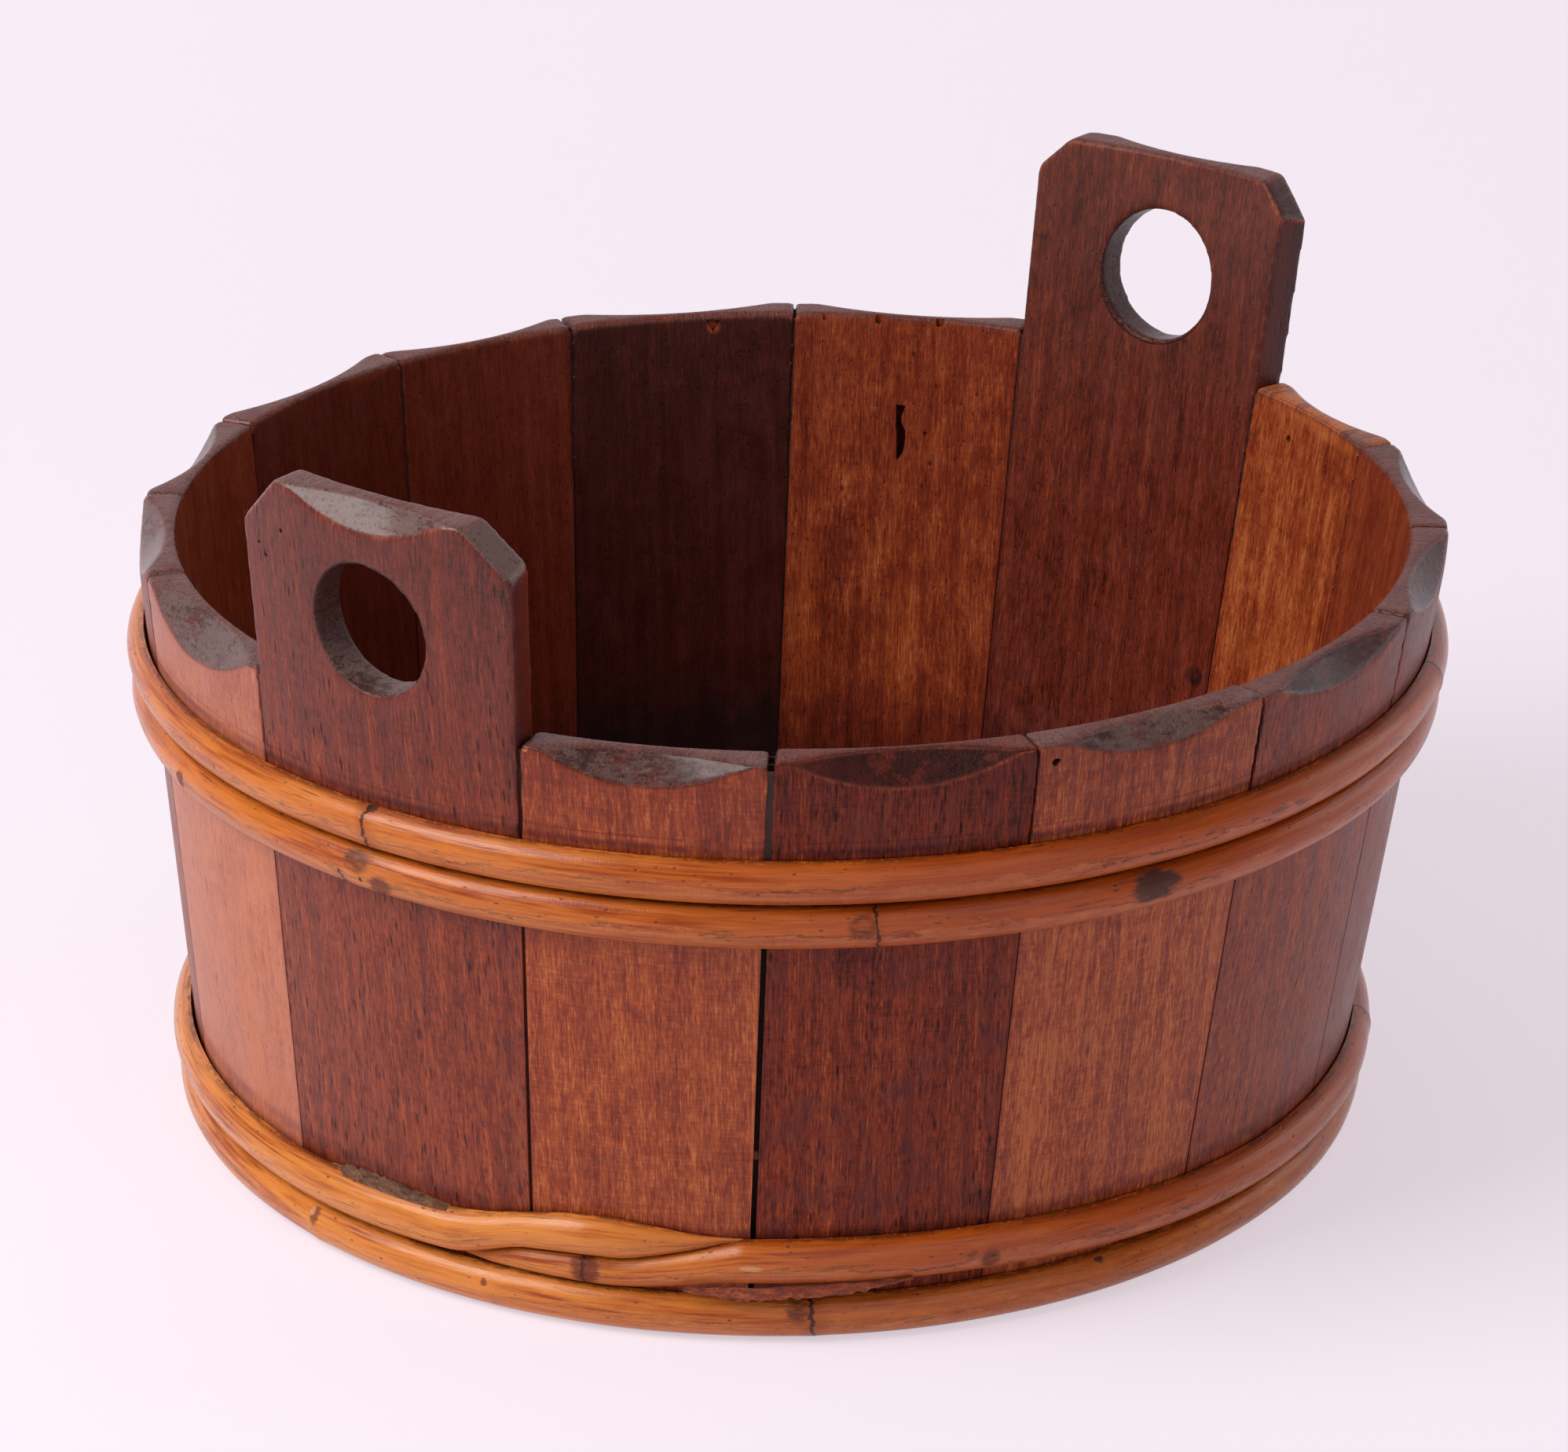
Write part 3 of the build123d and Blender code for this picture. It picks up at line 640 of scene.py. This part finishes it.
def plain_finish(name, seed, pale, dark, size):
    """Plain straight-grained wood, along the grain of the bottom, for its boards and the pins."""
    colours = bpy.context.scene.piggin_colours
    finish = Finish(name)
    point = finish.place(-BOARD_GRAIN)
    long, wide, deep = size
    streak = finish.grain(point, (long, wide, deep), seed, 4, 0.6, 0.3)
    fibre = finish.grain(point, (long / 3, wide / 6, deep / 6), seed + 1, 3, 0.6)
    pore = 1 - finish.step(finish.cells(point, (0.008, 0.0012, 0.002), seed + 2), 0.10, 0.26)
    blot = finish.grain(point, (0.05, 0.03, 0.05), seed + 3, 3, 0.5)
    ground = finish.mix(finish.step(streak, 0.35, 0.65), dark, pale)
    ground = finish.mix(finish.step(fibre, 0.4, 0.8) * 0.3, ground, pale)
    ground = finish.mix(finish.step(blot, 0.45, 0.7) * 0.5, ground, colours.wine)
    ground = finish.mix(pore * 0.55, ground, colours.soot)
    rough = 0.45 + blot * 0.2
    return finish.done(ground, rough, fibre * 0.5 + streak * 0.4 - pore * 0.8, 0.0002)


def crumb_finish(name, pale, dark):
    """Bark, dust and old dirt caught in the joints and behind the canes."""
    finish = Finish(name)
    point = finish.place()
    flake = finish.grain(point, (0.003, 0.003, 0.0008), 36.0, 4, 0.65, 0.4)
    crumb = finish.grain(point, (0.0006, 0.0006, 0.0006), 37.0, 3, 0.7)
    ground = finish.mix(finish.step(flake * 0.6 + crumb * 0.4, 0.36, 0.66), dark, pale)
    return finish.done(ground, 0.6 + crumb * 0.3, flake * 0.6 + crumb * 0.5, 0.0004)


# --- making pieces ---------------------------------------------------------------------------
def activate(piece):
    """Select a piece alone, ready for the next operator."""
    bpy.ops.object.select_all(action="DESELECT")
    piece.select_set(True)
    bpy.context.view_layer.objects.active = piece


def new_piece(add, **settings):
    """A new primitive, alone selected, with its object at the origin."""
    bpy.ops.object.select_all(action="DESELECT")
    add(**settings)
    piece = bpy.context.active_object
    piece.location = (0, 0, 0)
    return piece


def face_outwards(piece):
    """Turn the faces of a closed piece outwards."""
    activate(piece)
    bpy.ops.object.mode_set(mode="EDIT")
    bpy.ops.mesh.select_all(action="SELECT")
    bpy.ops.mesh.normals_make_consistent(inside=False)
    bpy.ops.object.mode_set(mode="OBJECT")


def apply_modifier(piece, kind, **settings):
    """Add a modifier with its settings, and apply it."""
    activate(piece)
    modifier = piece.modifiers.new(kind.lower(), kind)
    for name, value in settings.items():
        setattr(modifier, name, value)
    bpy.ops.object.modifier_apply(modifier=modifier.name)


def joined_copy(node):
    """Copy of a frame node with its loose triangles joined up, ready to be worked on."""
    source = frame["nodes"][node]
    piece = bpy.data.objects.new("worn_" + node, source.data.copy())
    bpy.context.scene.collection.objects.link(piece)
    piece.data.materials.clear()
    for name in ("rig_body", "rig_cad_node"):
        if name in piece:
            del piece[name]
    activate(piece)
    bpy.ops.object.mode_set(mode="EDIT")
    bpy.ops.mesh.select_mode(type="VERT")
    bpy.ops.mesh.select_all(action="SELECT")
    bpy.ops.mesh.customdata_custom_splitnormals_clear()
    bpy.ops.mesh.remove_doubles(threshold=2e-6)
    bpy.ops.mesh.dissolve_limited(angle_limit=radians(0.8))
    bpy.ops.object.mode_set(mode="OBJECT")
    return piece


def bisect_at(piece, height, keep_above):
    """Cut a piece level at a height and keep one side, closed."""
    activate(piece)
    bpy.ops.object.mode_set(mode="EDIT")
    bpy.ops.mesh.select_all(action="SELECT")
    bpy.ops.mesh.bisect(plane_co=(0, 0, height), plane_no=(0, 0, 1), use_fill=True,
                        clear_inner=keep_above, clear_outer=not keep_above)
    bpy.ops.object.mode_set(mode="OBJECT")


def rub_round(piece, index, arris):
    """Rub the arrises of a stave's top round, but not where it meets its neighbours."""
    apply_modifier(piece, "REMESH", mode="VOXEL", voxel_size=GRIT)
    sides = [polar(1, JOINTS[index] + 90), polar(1, JOINTS[index + 1] + 90)]
    rubbed = []
    for vertex in piece.data.vertices:
        from_middle = vertex.co - axis_point(vertex.co.z)
        beside = min(abs(from_middle.dot(side)) for side in sides) < JOINT_SIDE
        if not beside or vertex.co.z > RIM_HEIGHT - RUBBED_AT_JOINT:
            rubbed.append(vertex.index)
    group = piece.vertex_groups.new(name="rubbed")
    group.add(rubbed, 1.0, "REPLACE")
    apply_modifier(piece, "SMOOTH", factor=0.5, iterations=round(3 * (arris / GRIT) ** 2),
                   vertex_group="rubbed")
    piece.vertex_groups.clear()
    apply_modifier(piece, "DECIMATE", ratio=KEPT_FACES)


def ragged_round(wide, high, seed):
    """Corners of a ragged round outline."""
    corners = []
    for turn in range(0, 360, 36):
        reach = 1 + 0.35 * noise.noise(Vector((cos(radians(turn)), sin(radians(turn)), seed)))
        corners.append((wide * reach * cos(radians(turn)), high * reach * sin(radians(turn))))
    return corners


def cut_hollow(piece, inside, azimuth, height, deep, outline):
    """Cut a small hollow of that outline into one face of the wall."""
    if len(outline) == 2:
        outline = ragged_round(*outline, azimuth)
    cutter = new_piece(bpy.ops.mesh.primitive_circle_add, vertices=len(outline), radius=1,
                       fill_type="NGON")
    out, aside = polar(1, azimuth), polar(1, azimuth + 90)
    start = wall_point(height, azimuth, -WALL - CUT_PAST if inside else -deep)
    for vertex, (x, y) in zip(cutter.data.vertices, outline):
        vertex.co = start + aside * (x / 1000) + Vector((0, 0, y / 1000))
    bpy.ops.object.mode_set(mode="EDIT")
    bpy.ops.mesh.select_all(action="SELECT")
    bpy.ops.mesh.extrude_region_move(TRANSFORM_OT_translate={"value": out * (deep + CUT_PAST)})
    bpy.ops.object.mode_set(mode="OBJECT")
    face_outwards(cutter)
    apply_modifier(piece, "BOOLEAN", operation="DIFFERENCE", solver="EXACT", object=cutter)
    bpy.data.objects.remove(cutter)


def finish_stave(index):
    """A stave in its own wood, crisp at its foot, its top rubbed round and its hollows cut."""
    name = STAVES[index][0]
    piece = joined_copy(name)
    top = bpy.data.objects.new(name + "_top", piece.data.copy())
    bpy.context.scene.collection.objects.link(top)
    bisect_at(piece, SPLIT, False)
    bisect_at(top, SPLIT - SPLIT_OVERLAP, True)
    rub_round(top, index, bpy.context.scene.piggin_sizes.arris)
    bisect_at(top, SPLIT, True)
    for stave, *hollow in HOLLOWS:
        if stave == name:
            cut_hollow(top, *hollow)
    activate(piece)
    top.select_set(True)
    bpy.ops.object.join()
    piece.data.materials.append(stave_finish(index))
    activate(piece)
    bpy.ops.object.shade_smooth_by_angle(angle=radians(38))
    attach(piece, "root")
    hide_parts(name)
    return piece


def smooth_step(share):
    """Smooth rise from nought to one."""
    share = min(max(share, 0.0), 1.0)
    return share * share * (3 - 2 * share)


def swell(share):
    """Smooth rise and fall between nought and one."""
    return sin(pi * share) ** 2 if 0 < share < 1 else 0.0


def even_split(share):
    """Share of a plain hoop's height that its lower strand takes, through the lap."""
    return share


def front_split(share):
    """The same for the splice that faces the front: a step, a flat stretch and a last slope."""
    last = max((share - SPLICE_STEP_UNTIL) / (1 - SPLICE_STEP_UNTIL), 0.0) ** 1.4
    return SPLICE_STEP * smooth_step(share / SPLICE_STEP_RISES) + (1 - SPLICE_STEP) * last


def bend_cane(node, lap_from, height, proud, split, swelling, lift, knuckles, seed):
    """A strip of half-round cane bent once round the vessel, its two ends passing in a lap."""
    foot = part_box(node)[0].z
    piece = new_piece(bpy.ops.mesh.primitive_grid_add, x_subdivisions=CANE_STATIONS,
                      y_subdivisions=CANE_SPOTS, size=1, calc_uvs=True)
    piece.name = "cane_" + node
    piece.data.uv_layers.active.name = "cane"

    def edges_at(azimuth):
        turned = azimuth - lap_from
        in_lap = (turned % 360) / LAP_ANGLE if turned < 360 + LAP_ANGLE else 1.0
        low = foot + lift * swell(((azimuth - LIFT_FROM) % 360) / (LIFT_TO - LIFT_FROM))
        high = low + height + swelling * swell(in_lap)
        if turned < LAP_ANGLE:
            high = low + max((high - low) * split(in_lap) - LAP_CLEARANCE * (1 - in_lap),
                             TIP_HEIGHT)
            low -= (low - foot) * smooth_step(in_lap * 6) * (1 - smooth_step(in_lap * 2.2 - 1.2))
        elif turned > 360:
            low = high - max((high - low) * (1 - split(in_lap)), TIP_HEIGHT)
        return low, high

    def spot_at(along, across):
        azimuth = lap_from + (360 + LAP_ANGLE) * along
        low, high = edges_at(azimuth)
        wander = noise.noise(Vector((azimuth / 9, seed, 0))) * 0.00012
        bulge = 0.97 + 0.05 * noise.noise(Vector((azimuth / 13, seed, 7)))
        for at, rise in knuckles:
            away = ((azimuth - at + 180) % 360 - 180) * radians(1) * outer_radius(foot)
            bulge += rise * exp(-(away / KNUCKLE_REACH) ** 2)
        middle, reach = (low + high) / 2, (high - low) / 2
        crown = min(proud, 0.96 * reach) * bulge
        if across < ROUND_SHARE:
            turn = pi * across / ROUND_SHARE
            up, out = -cos(turn) * reach, sin(turn) ** 0.92 * crown
        else:
            up, out = reach * (1 - 2 * (across - ROUND_SHARE) / (1 - ROUND_SHARE)), 0.0
        point = axis_point(middle) + polar(outer_radius(middle + up) + CANE_CLEARANCE + out,
                                           azimuth)
        point.z = middle + up + wander * sin(pi * min(across / ROUND_SHARE, 1.0))
        return point

    for vertex in piece.data.vertices:
        along, across = vertex.co.x + 0.5, vertex.co.y + 0.5
        vertex.co = spot_at(min(max(along, 0), 1), min(max(across, 0), 1))
    activate(piece)
    bpy.ops.object.mode_set(mode="EDIT")
    bpy.ops.mesh.select_mode(type="VERT")
    bpy.ops.mesh.select_all(action="SELECT")
    bpy.ops.mesh.remove_doubles(threshold=2e-6)
    bpy.ops.mesh.select_all(action="DESELECT")
    bpy.ops.mesh.select_non_manifold(extend=False, use_wire=False, use_boundary=True,
                                     use_multi_face=False, use_non_contiguous=False,
                                     use_verts=False)
    bpy.ops.mesh.edge_face_add()
    bpy.ops.object.mode_set(mode="OBJECT")
    face_outwards(piece)
    bpy.ops.object.shade_smooth_by_angle(angle=radians(40))
    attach(piece, "root")
    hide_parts(node)
    return piece


def fill_joints():
    """Old dirt in the joints between the staves, under both faces of the wall. In the widest
    joint it is half way through below the hoops, so that the pin shows."""
    strips = []
    for azimuth in JOINTS[:-1]:
        rows = [(DIRT_UNDER_OUTSIDE, DIRT_OVER_FOOT), (WALL - DIRT_UNDER_INSIDE, DIRT_OVER_FOOT)]
        if azimuth == JOINTS[OPEN_JOINT]:
            rows[0] = (WALL / 2, DIRT_OVER_FOOT)
            rows.insert(0, (DIRT_IN_OPEN_JOINT, SPLIT))
        aside = polar(1, azimuth + 90)
        for depth, low in rows:
            strip = new_piece(bpy.ops.mesh.primitive_cube_add, size=2)
            for vertex in strip.data.vertices:
                x, y, z = vertex.co
                height = RIM_HEIGHT - DIRT_UNDER_RIM if z > 0 else low
                vertex.co = (wall_point(height, azimuth, -depth + DIRT_THICKNESS / 2 * x)
                             + aside * (DIRT_WIDTH / 2 * y))
            face_outwards(strip)
            strips.append(strip)
    activate(strips[0])
    for strip in strips:
        strip.select_set(True)
    bpy.ops.object.join()
    strips[0].name = "joint_dirt"
    return strips[0]


def lay_scrap(name, start, end, place, seed):
    """A torn scrap lying along a hoop. place(share, across) gives a point of its upper face."""
    scrap = new_piece(bpy.ops.mesh.primitive_grid_add, x_subdivisions=60, y_subdivisions=8,
                      size=1)
    scrap.name = name
    for vertex in scrap.data.vertices:
        share, across = vertex.co.x + 0.5, vertex.co.y + 0.5
        azimuth = start + (end - start) * share
        height, out = place(share, across, seed)
        vertex.co = wall_point(height, azimuth, out)
    apply_modifier(scrap, "SOLIDIFY", thickness=0.0004, offset=0.0)
    face_outwards(scrap)
    bpy.ops.object.shade_smooth_by_angle(angle=radians(50))
    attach(scrap, "root")
    return scrap


def torn_bark(share, across, seed):
    """Bark torn off under the spliced hoop: a thin ragged tongue with two pointed ends."""
    tear = 0.5 * noise.noise(Vector((share * 11, seed, 0)))
    tear += noise.noise(Vector((share * 31, seed, 4)))
    width = 0.0030 * min(1.0, 5 * share, 3 * (1 - share)) * (0.75 + 0.35 * tear)
    sink = 0.0009 * noise.noise(Vector((share * 7, across * 2, seed)))
    return 0.0126 + 0.0018 * share - width * (1 - across), 0.0037 + 0.0010 * (1 - across) + sink


def caught_dust(share, across, seed):
    """Dust and flakes heaped on the spliced hoop where it leaves the wall."""
    lump = noise.noise(Vector((share * 9, across, seed))) + 0.5 * noise.noise(
        Vector((share * 27, across * 4, seed)))
    rise = 0.0028 * max(0.0, sin(pi * share ** 0.7)) * (1 + 0.55 * lump)
    return 0.0178 + 0.0028 * share + rise * (1 - across) ** 0.5, 0.0001 + 0.0024 * across


# --- what a user would change -----------------------------------------------------------------
def colour(name, description, value):
    return bpy.props.FloatVectorProperty(name=name, description=description, default=value,
                                         subtype="COLOR", size=3, min=0.0, max=1.0)


class PigginSizes(bpy.types.PropertyGroup):
    """Sizes of the worn details."""

    arris: bpy.props.FloatProperty(
        name="Arris", description="How far the worn edges of the rim and handles are rounded",
        default=0.0013, min=0.0, unit="LENGTH")
    cane_height: bpy.props.FloatProperty(
        name="Cane height", description="Height of a plain hoop",
        default=0.0093, min=0.001, unit="LENGTH")
    spliced_cane_height: bpy.props.FloatProperty(
        name="Spliced cane height", description="Height of the hoop whose splice faces the front",
        default=0.0100, min=0.001, unit="LENGTH")
    upper_proud: bpy.props.FloatProperty(
        name="Upper hoops proud", description="How far the upper hoops stand out of the wall",
        default=0.0044, min=0.001, unit="LENGTH")
    lower_proud: bpy.props.FloatProperty(
        name="Lower hoops proud", description="How far the lower hoops stand out of the wall",
        default=0.0053, min=0.001, unit="LENGTH")


class PigginColours(bpy.types.PropertyGroup):
    """Colours of the woods and the cane."""

    tan: colour("Tan", "Palest bare wood and flecks", (0.48, 0.130, 0.035))
    honey: colour("Honey", "Pale oiled wood of the staves", (0.29, 0.052, 0.012))
    russet: colour("Russet", "Middle tone of the staves", (0.170, 0.023, 0.008))
    wine: colour("Wine", "Dark red tone of the staves", (0.100, 0.0125, 0.005))
    # Also painted shade on the upper wall of the hand holes.
    umber: colour("Umber", "Darkest oiled wood", (0.040, 0.005, 0.0025))
    # Also painted shade on the walls of the small hollows.
    soot: colour("Soot", "Dirt in pores and joints", (0.014, 0.0045, 0.004))
    plum: colour("Plum", "Old stain in the grain", (0.068, 0.013, 0.014))
    ash: colour("Ash", "Dry raw end grain", (0.130, 0.078, 0.066))
    cane_gold: colour("Cane gold", "Varnished cane", (0.45, 0.082, 0.004))
    # Also painted shade on the hoops' side away from the window lamp.
    cane_deep: colour("Cane deep", "Darker streaks of the cane", (0.25, 0.034, 0.003))
    cane_pale: colour("Cane pale", "Cane with its varnish worn off", (0.45, 0.120, 0.026))
    cane_pink: colour("Cane pink", "Pinkish lower side of the cane", (0.33, 0.062, 0.014))
    # Also painted highlight on the hoops' side towards the window lamp.
    cane_tan: colour("Cane tan", "Drier, yellower cane", (0.62, 0.215, 0.040))
    # Also painted shade along each hoop's lower edge.
    cane_burnt_and_shade: colour("Cane burnt", "Burnt line along the cane", (0.060, 0.011, 0.003))
    cane_bare: colour("Cane bare", "Freshly chipped cane", (0.62, 0.33, 0.16))
    dust: colour("Dust", "Dust and flakes on a hoop", (0.200, 0.080, 0.028))
    # Also a painted reflection on the outside of stave_left_1.
    floor: colour("Floor", "Floor and backdrop", (0.96, 0.87, 0.94))


# --- operators ---------------------------------------------------------------------------------
class PIGGIN_OT_staves(bpy.types.Operator):
    """Rub the arrises of the staves and handles, give each its own wood, and fill the joints"""

    bl_idname = "piggin.staves"
    bl_label = "Staves and Handles"

    def execute(self, context):
        for index in range(len(STAVES)):
            finish_stave(index)
        dirt = fill_joints()
        colours = context.scene.piggin_colours
        dirt.data.materials.append(crumb_finish("joint_dirt", colours.umber, colours.soot))
        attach(dirt, "root")
        return {"FINISHED"}


class PIGGIN_OT_bottom(bpy.types.Operator):
    """Give the bottom's boards and the pins their wood"""

    bl_idname = "piggin.bottom"
    bl_label = "Bottom and Pins"

    def execute(self, context):
        colours = context.scene.piggin_colours
        bamboo = plain_finish("bamboo", 31.0, colours.tan, colours.russet, (0.01, 0.001, 0.001))
        finishes = {"board_pins": bamboo, "stave_pins": bamboo}
        for number in (1, 2, 3):
            finishes[f"bottom_board_{number}"] = plain_finish(
                f"bottom_wood_{number}", 11.0 + 20.0 * number, colours.russet, colours.umber,
                (0.08, 0.004, 0.01))
        for name, finish in finishes.items():
            node = frame["nodes"][name]
            node.data.materials.clear()
            node.data.materials.append(finish)
        return {"FINISHED"}


class PIGGIN_OT_hoops(bpy.types.Operator):
    """Bend the four strips of split cane round the vessel"""

    bl_idname = "piggin.hoops"
    bl_label = "Cane Hoops"

    def execute(self, context):
        sizes = context.scene.piggin_sizes
        for node, lap_from, knuckles, seed, tan, marks in HOOPS:
            height, split, swelling, lift = sizes.cane_height, even_split, 0.0, 0.0
            if node == "hoop_lower_top":
                height, split = sizes.spliced_cane_height, front_split
                swelling, lift = SPLICE_SWELL, SPLICE_LIFT
            proud = sizes.upper_proud if "upper" in node else sizes.lower_proud
            piece = bend_cane(node, lap_from, height, proud, split, swelling, lift, knuckles, seed)
            length = radians(360 + LAP_ANGLE) * outer_radius(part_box(node)[0].z)
            piece.data.materials.append(cane_finish(node + "_cane", seed, lap_from, length, tan,
                                                    marks))
        return {"FINISHED"}


class PIGGIN_OT_scraps(bpy.types.Operator):
    """Lay the torn bark and the dust caught along the spliced hoop"""

    bl_idname = "piggin.scraps"
    bl_label = "Bark and Dust"

    def execute(self, context):
        colours = context.scene.piggin_colours
        bark = lay_scrap("torn_bark", 209.8, 229.8, torn_bark, 3.0)
        bark.data.materials.append(crumb_finish("bark", colours.cane_pink, colours.wine))
        dust = lay_scrap("caught_dust", 170.9, 187.0, caught_dust, 8.0)
        dust.data.materials.append(crumb_finish("dust", colours.dust, colours.umber))
        return {"FINISHED"}


class PIGGIN_OT_stage(bpy.types.Operator):
    """Set the floor, the backdrop, the lamps and the camera"""

    bl_idname = "piggin.stage"
    bl_label = "Stage"

    def execute(self, context):
        self.lay_floor()
        self.hang_lamps()
        self.set_camera()
        settings = context.scene.view_settings
        settings.view_transform = "Standard"
        return {"FINISHED"}

    def lay_floor(self):
        """Floor that turns up into a backdrop behind the vessel."""
        side, away = polar(1, CAMERA_TURN), polar(1, CAMERA_TURN + 90)
        floor = new_piece(bpy.ops.mesh.primitive_grid_add, x_subdivisions=2, y_subdivisions=60,
                          size=1)
        floor.name = "floor"
        for vertex in floor.data.vertices:
            run = (vertex.co.y + 0.5) * FLOOR_LENGTH - FLOOR_IN_FRONT
            bend = max(run - SWEEP_BEHIND, 0.0)
            turn = min(bend / SWEEP_RADIUS, pi / 2)
            forth = min(run, SWEEP_BEHIND) + SWEEP_RADIUS * sin(turn)
            up = SWEEP_RADIUS * (1 - cos(turn)) + max(bend - SWEEP_RADIUS * pi / 2, 0.0)
            vertex.co = side * vertex.co.x * FLOOR_WIDTH + away * forth + Vector((0, 0, up))
        activate(floor)
        bpy.ops.object.shade_smooth()
        finish = Finish("seamless_paper")
        colours = bpy.context.scene.piggin_colours
        point = finish.place()
        cloud = finish.grain(point, (0.4, 0.4, 0.4), 41.0, 2, 0.5)
        tone = finish.mix(cloud, colours.floor, tuple(c * 0.985 for c in colours.floor))
        body = finish.node("BsdfDiffuse", None, {"Color": tone})
        glow = finish.node("Emission", None, {"Color": tone, "Strength": 1.0})
        path = finish.node("LightPath").socket.node.outputs
        seen = Value(finish, path["Is Camera Ray"])
        for kind in ("Is Glossy Ray", "Is Transmission Ray"):
            seen = seen.math("MAXIMUM", seen, Value(finish, path[kind]))
        blend = finish.node("MixShader", None, {0: seen * PAPER_GLOW, 1: body, 2: glow})
        finish.node("OutputMaterial", None, {"Surface": blend})
        floor.data.materials.append(finish.material)

    def hang_lamps(self):
        world = bpy.data.worlds.new("studio")
        bpy.context.scene.world = world
        world.use_nodes = True
        sky = world.node_tree.nodes["Background"].inputs
        sky["Color"].default_value = (0.93, 0.93, 1.0, 1)
        sky["Strength"].default_value = 0.22
        middle = Vector((0, 0, 0.07))
        for name, azimuth, rise, distance, size, power in LAMPS:
            light = bpy.data.lights.new(name, "AREA")
            light.shape, light.size, light.energy = "SQUARE", size, power
            lamp = bpy.data.objects.new(name, light)
            bpy.context.scene.collection.objects.link(lamp)
            lamp.location = (middle + polar(distance * cos(radians(rise)), azimuth)
                             + Vector((0, 0, distance * sin(radians(rise)))))
            lamp.rotation_euler = (middle - lamp.location).to_track_quat("-Z", "Y").to_euler()

    def set_camera(self):
        camera = bpy.data.objects.new("camera", bpy.data.cameras.new("camera"))
        bpy.context.scene.collection.objects.link(camera)
        bpy.context.scene.camera = camera
        camera.data.sensor_width = CAMERA_SENSOR
        camera.data.lens = CAMERA_LENS
        camera.data.clip_start, camera.data.clip_end = 0.05, 20.0
        right = polar(1, CAMERA_TURN)
        forward = (polar(cos(radians(CAMERA_PITCH)), CAMERA_TURN + 90)
                   + Vector((0, 0, sin(radians(CAMERA_PITCH)))))
        up = right.cross(forward)
        roll = radians(CAMERA_ROLL)
        right, up = right * cos(roll) + up * sin(roll), up * cos(roll) - right * sin(roll)
        camera.matrix_world = Matrix((
            (right.x, up.x, -forward.x, CAMERA_PLACE.x),
            (right.y, up.y, -forward.y, CAMERA_PLACE.y),
            (right.z, up.z, -forward.z, CAMERA_PLACE.z),
            (0, 0, 0, 1)))


class PIGGIN_PT_panel(bpy.types.Panel):
    bl_idname = "PIGGIN_PT_panel"
    bl_label = "Coopered Piggin"
    bl_space_type = "VIEW_3D"
    bl_region_type = "UI"
    bl_category = "Piggin"

    def draw(self, context):
        for operator in STEPS:
            self.layout.operator(operator.bl_idname)
        for group in (context.scene.piggin_sizes, context.scene.piggin_colours):
            for name in group.__annotations__:
                self.layout.prop(group, name)


STEPS = (PIGGIN_OT_stage, PIGGIN_OT_staves, PIGGIN_OT_bottom, PIGGIN_OT_hoops, PIGGIN_OT_scraps)
CLASSES = (PigginSizes, PigginColours, *STEPS, PIGGIN_PT_panel)


def register():
    for made in CLASSES:
        bpy.utils.register_class(made)
    bpy.types.Scene.piggin_sizes = bpy.props.PointerProperty(type=PigginSizes)
    bpy.types.Scene.piggin_colours = bpy.props.PointerProperty(type=PigginColours)


def unregister():
    del bpy.types.Scene.piggin_colours
    del bpy.types.Scene.piggin_sizes
    for made in reversed(CLASSES):
        bpy.utils.unregister_class(made)


def main():
    register()
    bpy.ops.piggin.stage()
    bpy.ops.piggin.staves()
    bpy.ops.piggin.bottom()
    bpy.ops.piggin.hoops()
    bpy.ops.piggin.scraps()


if __name__ == "__main__":
    main()
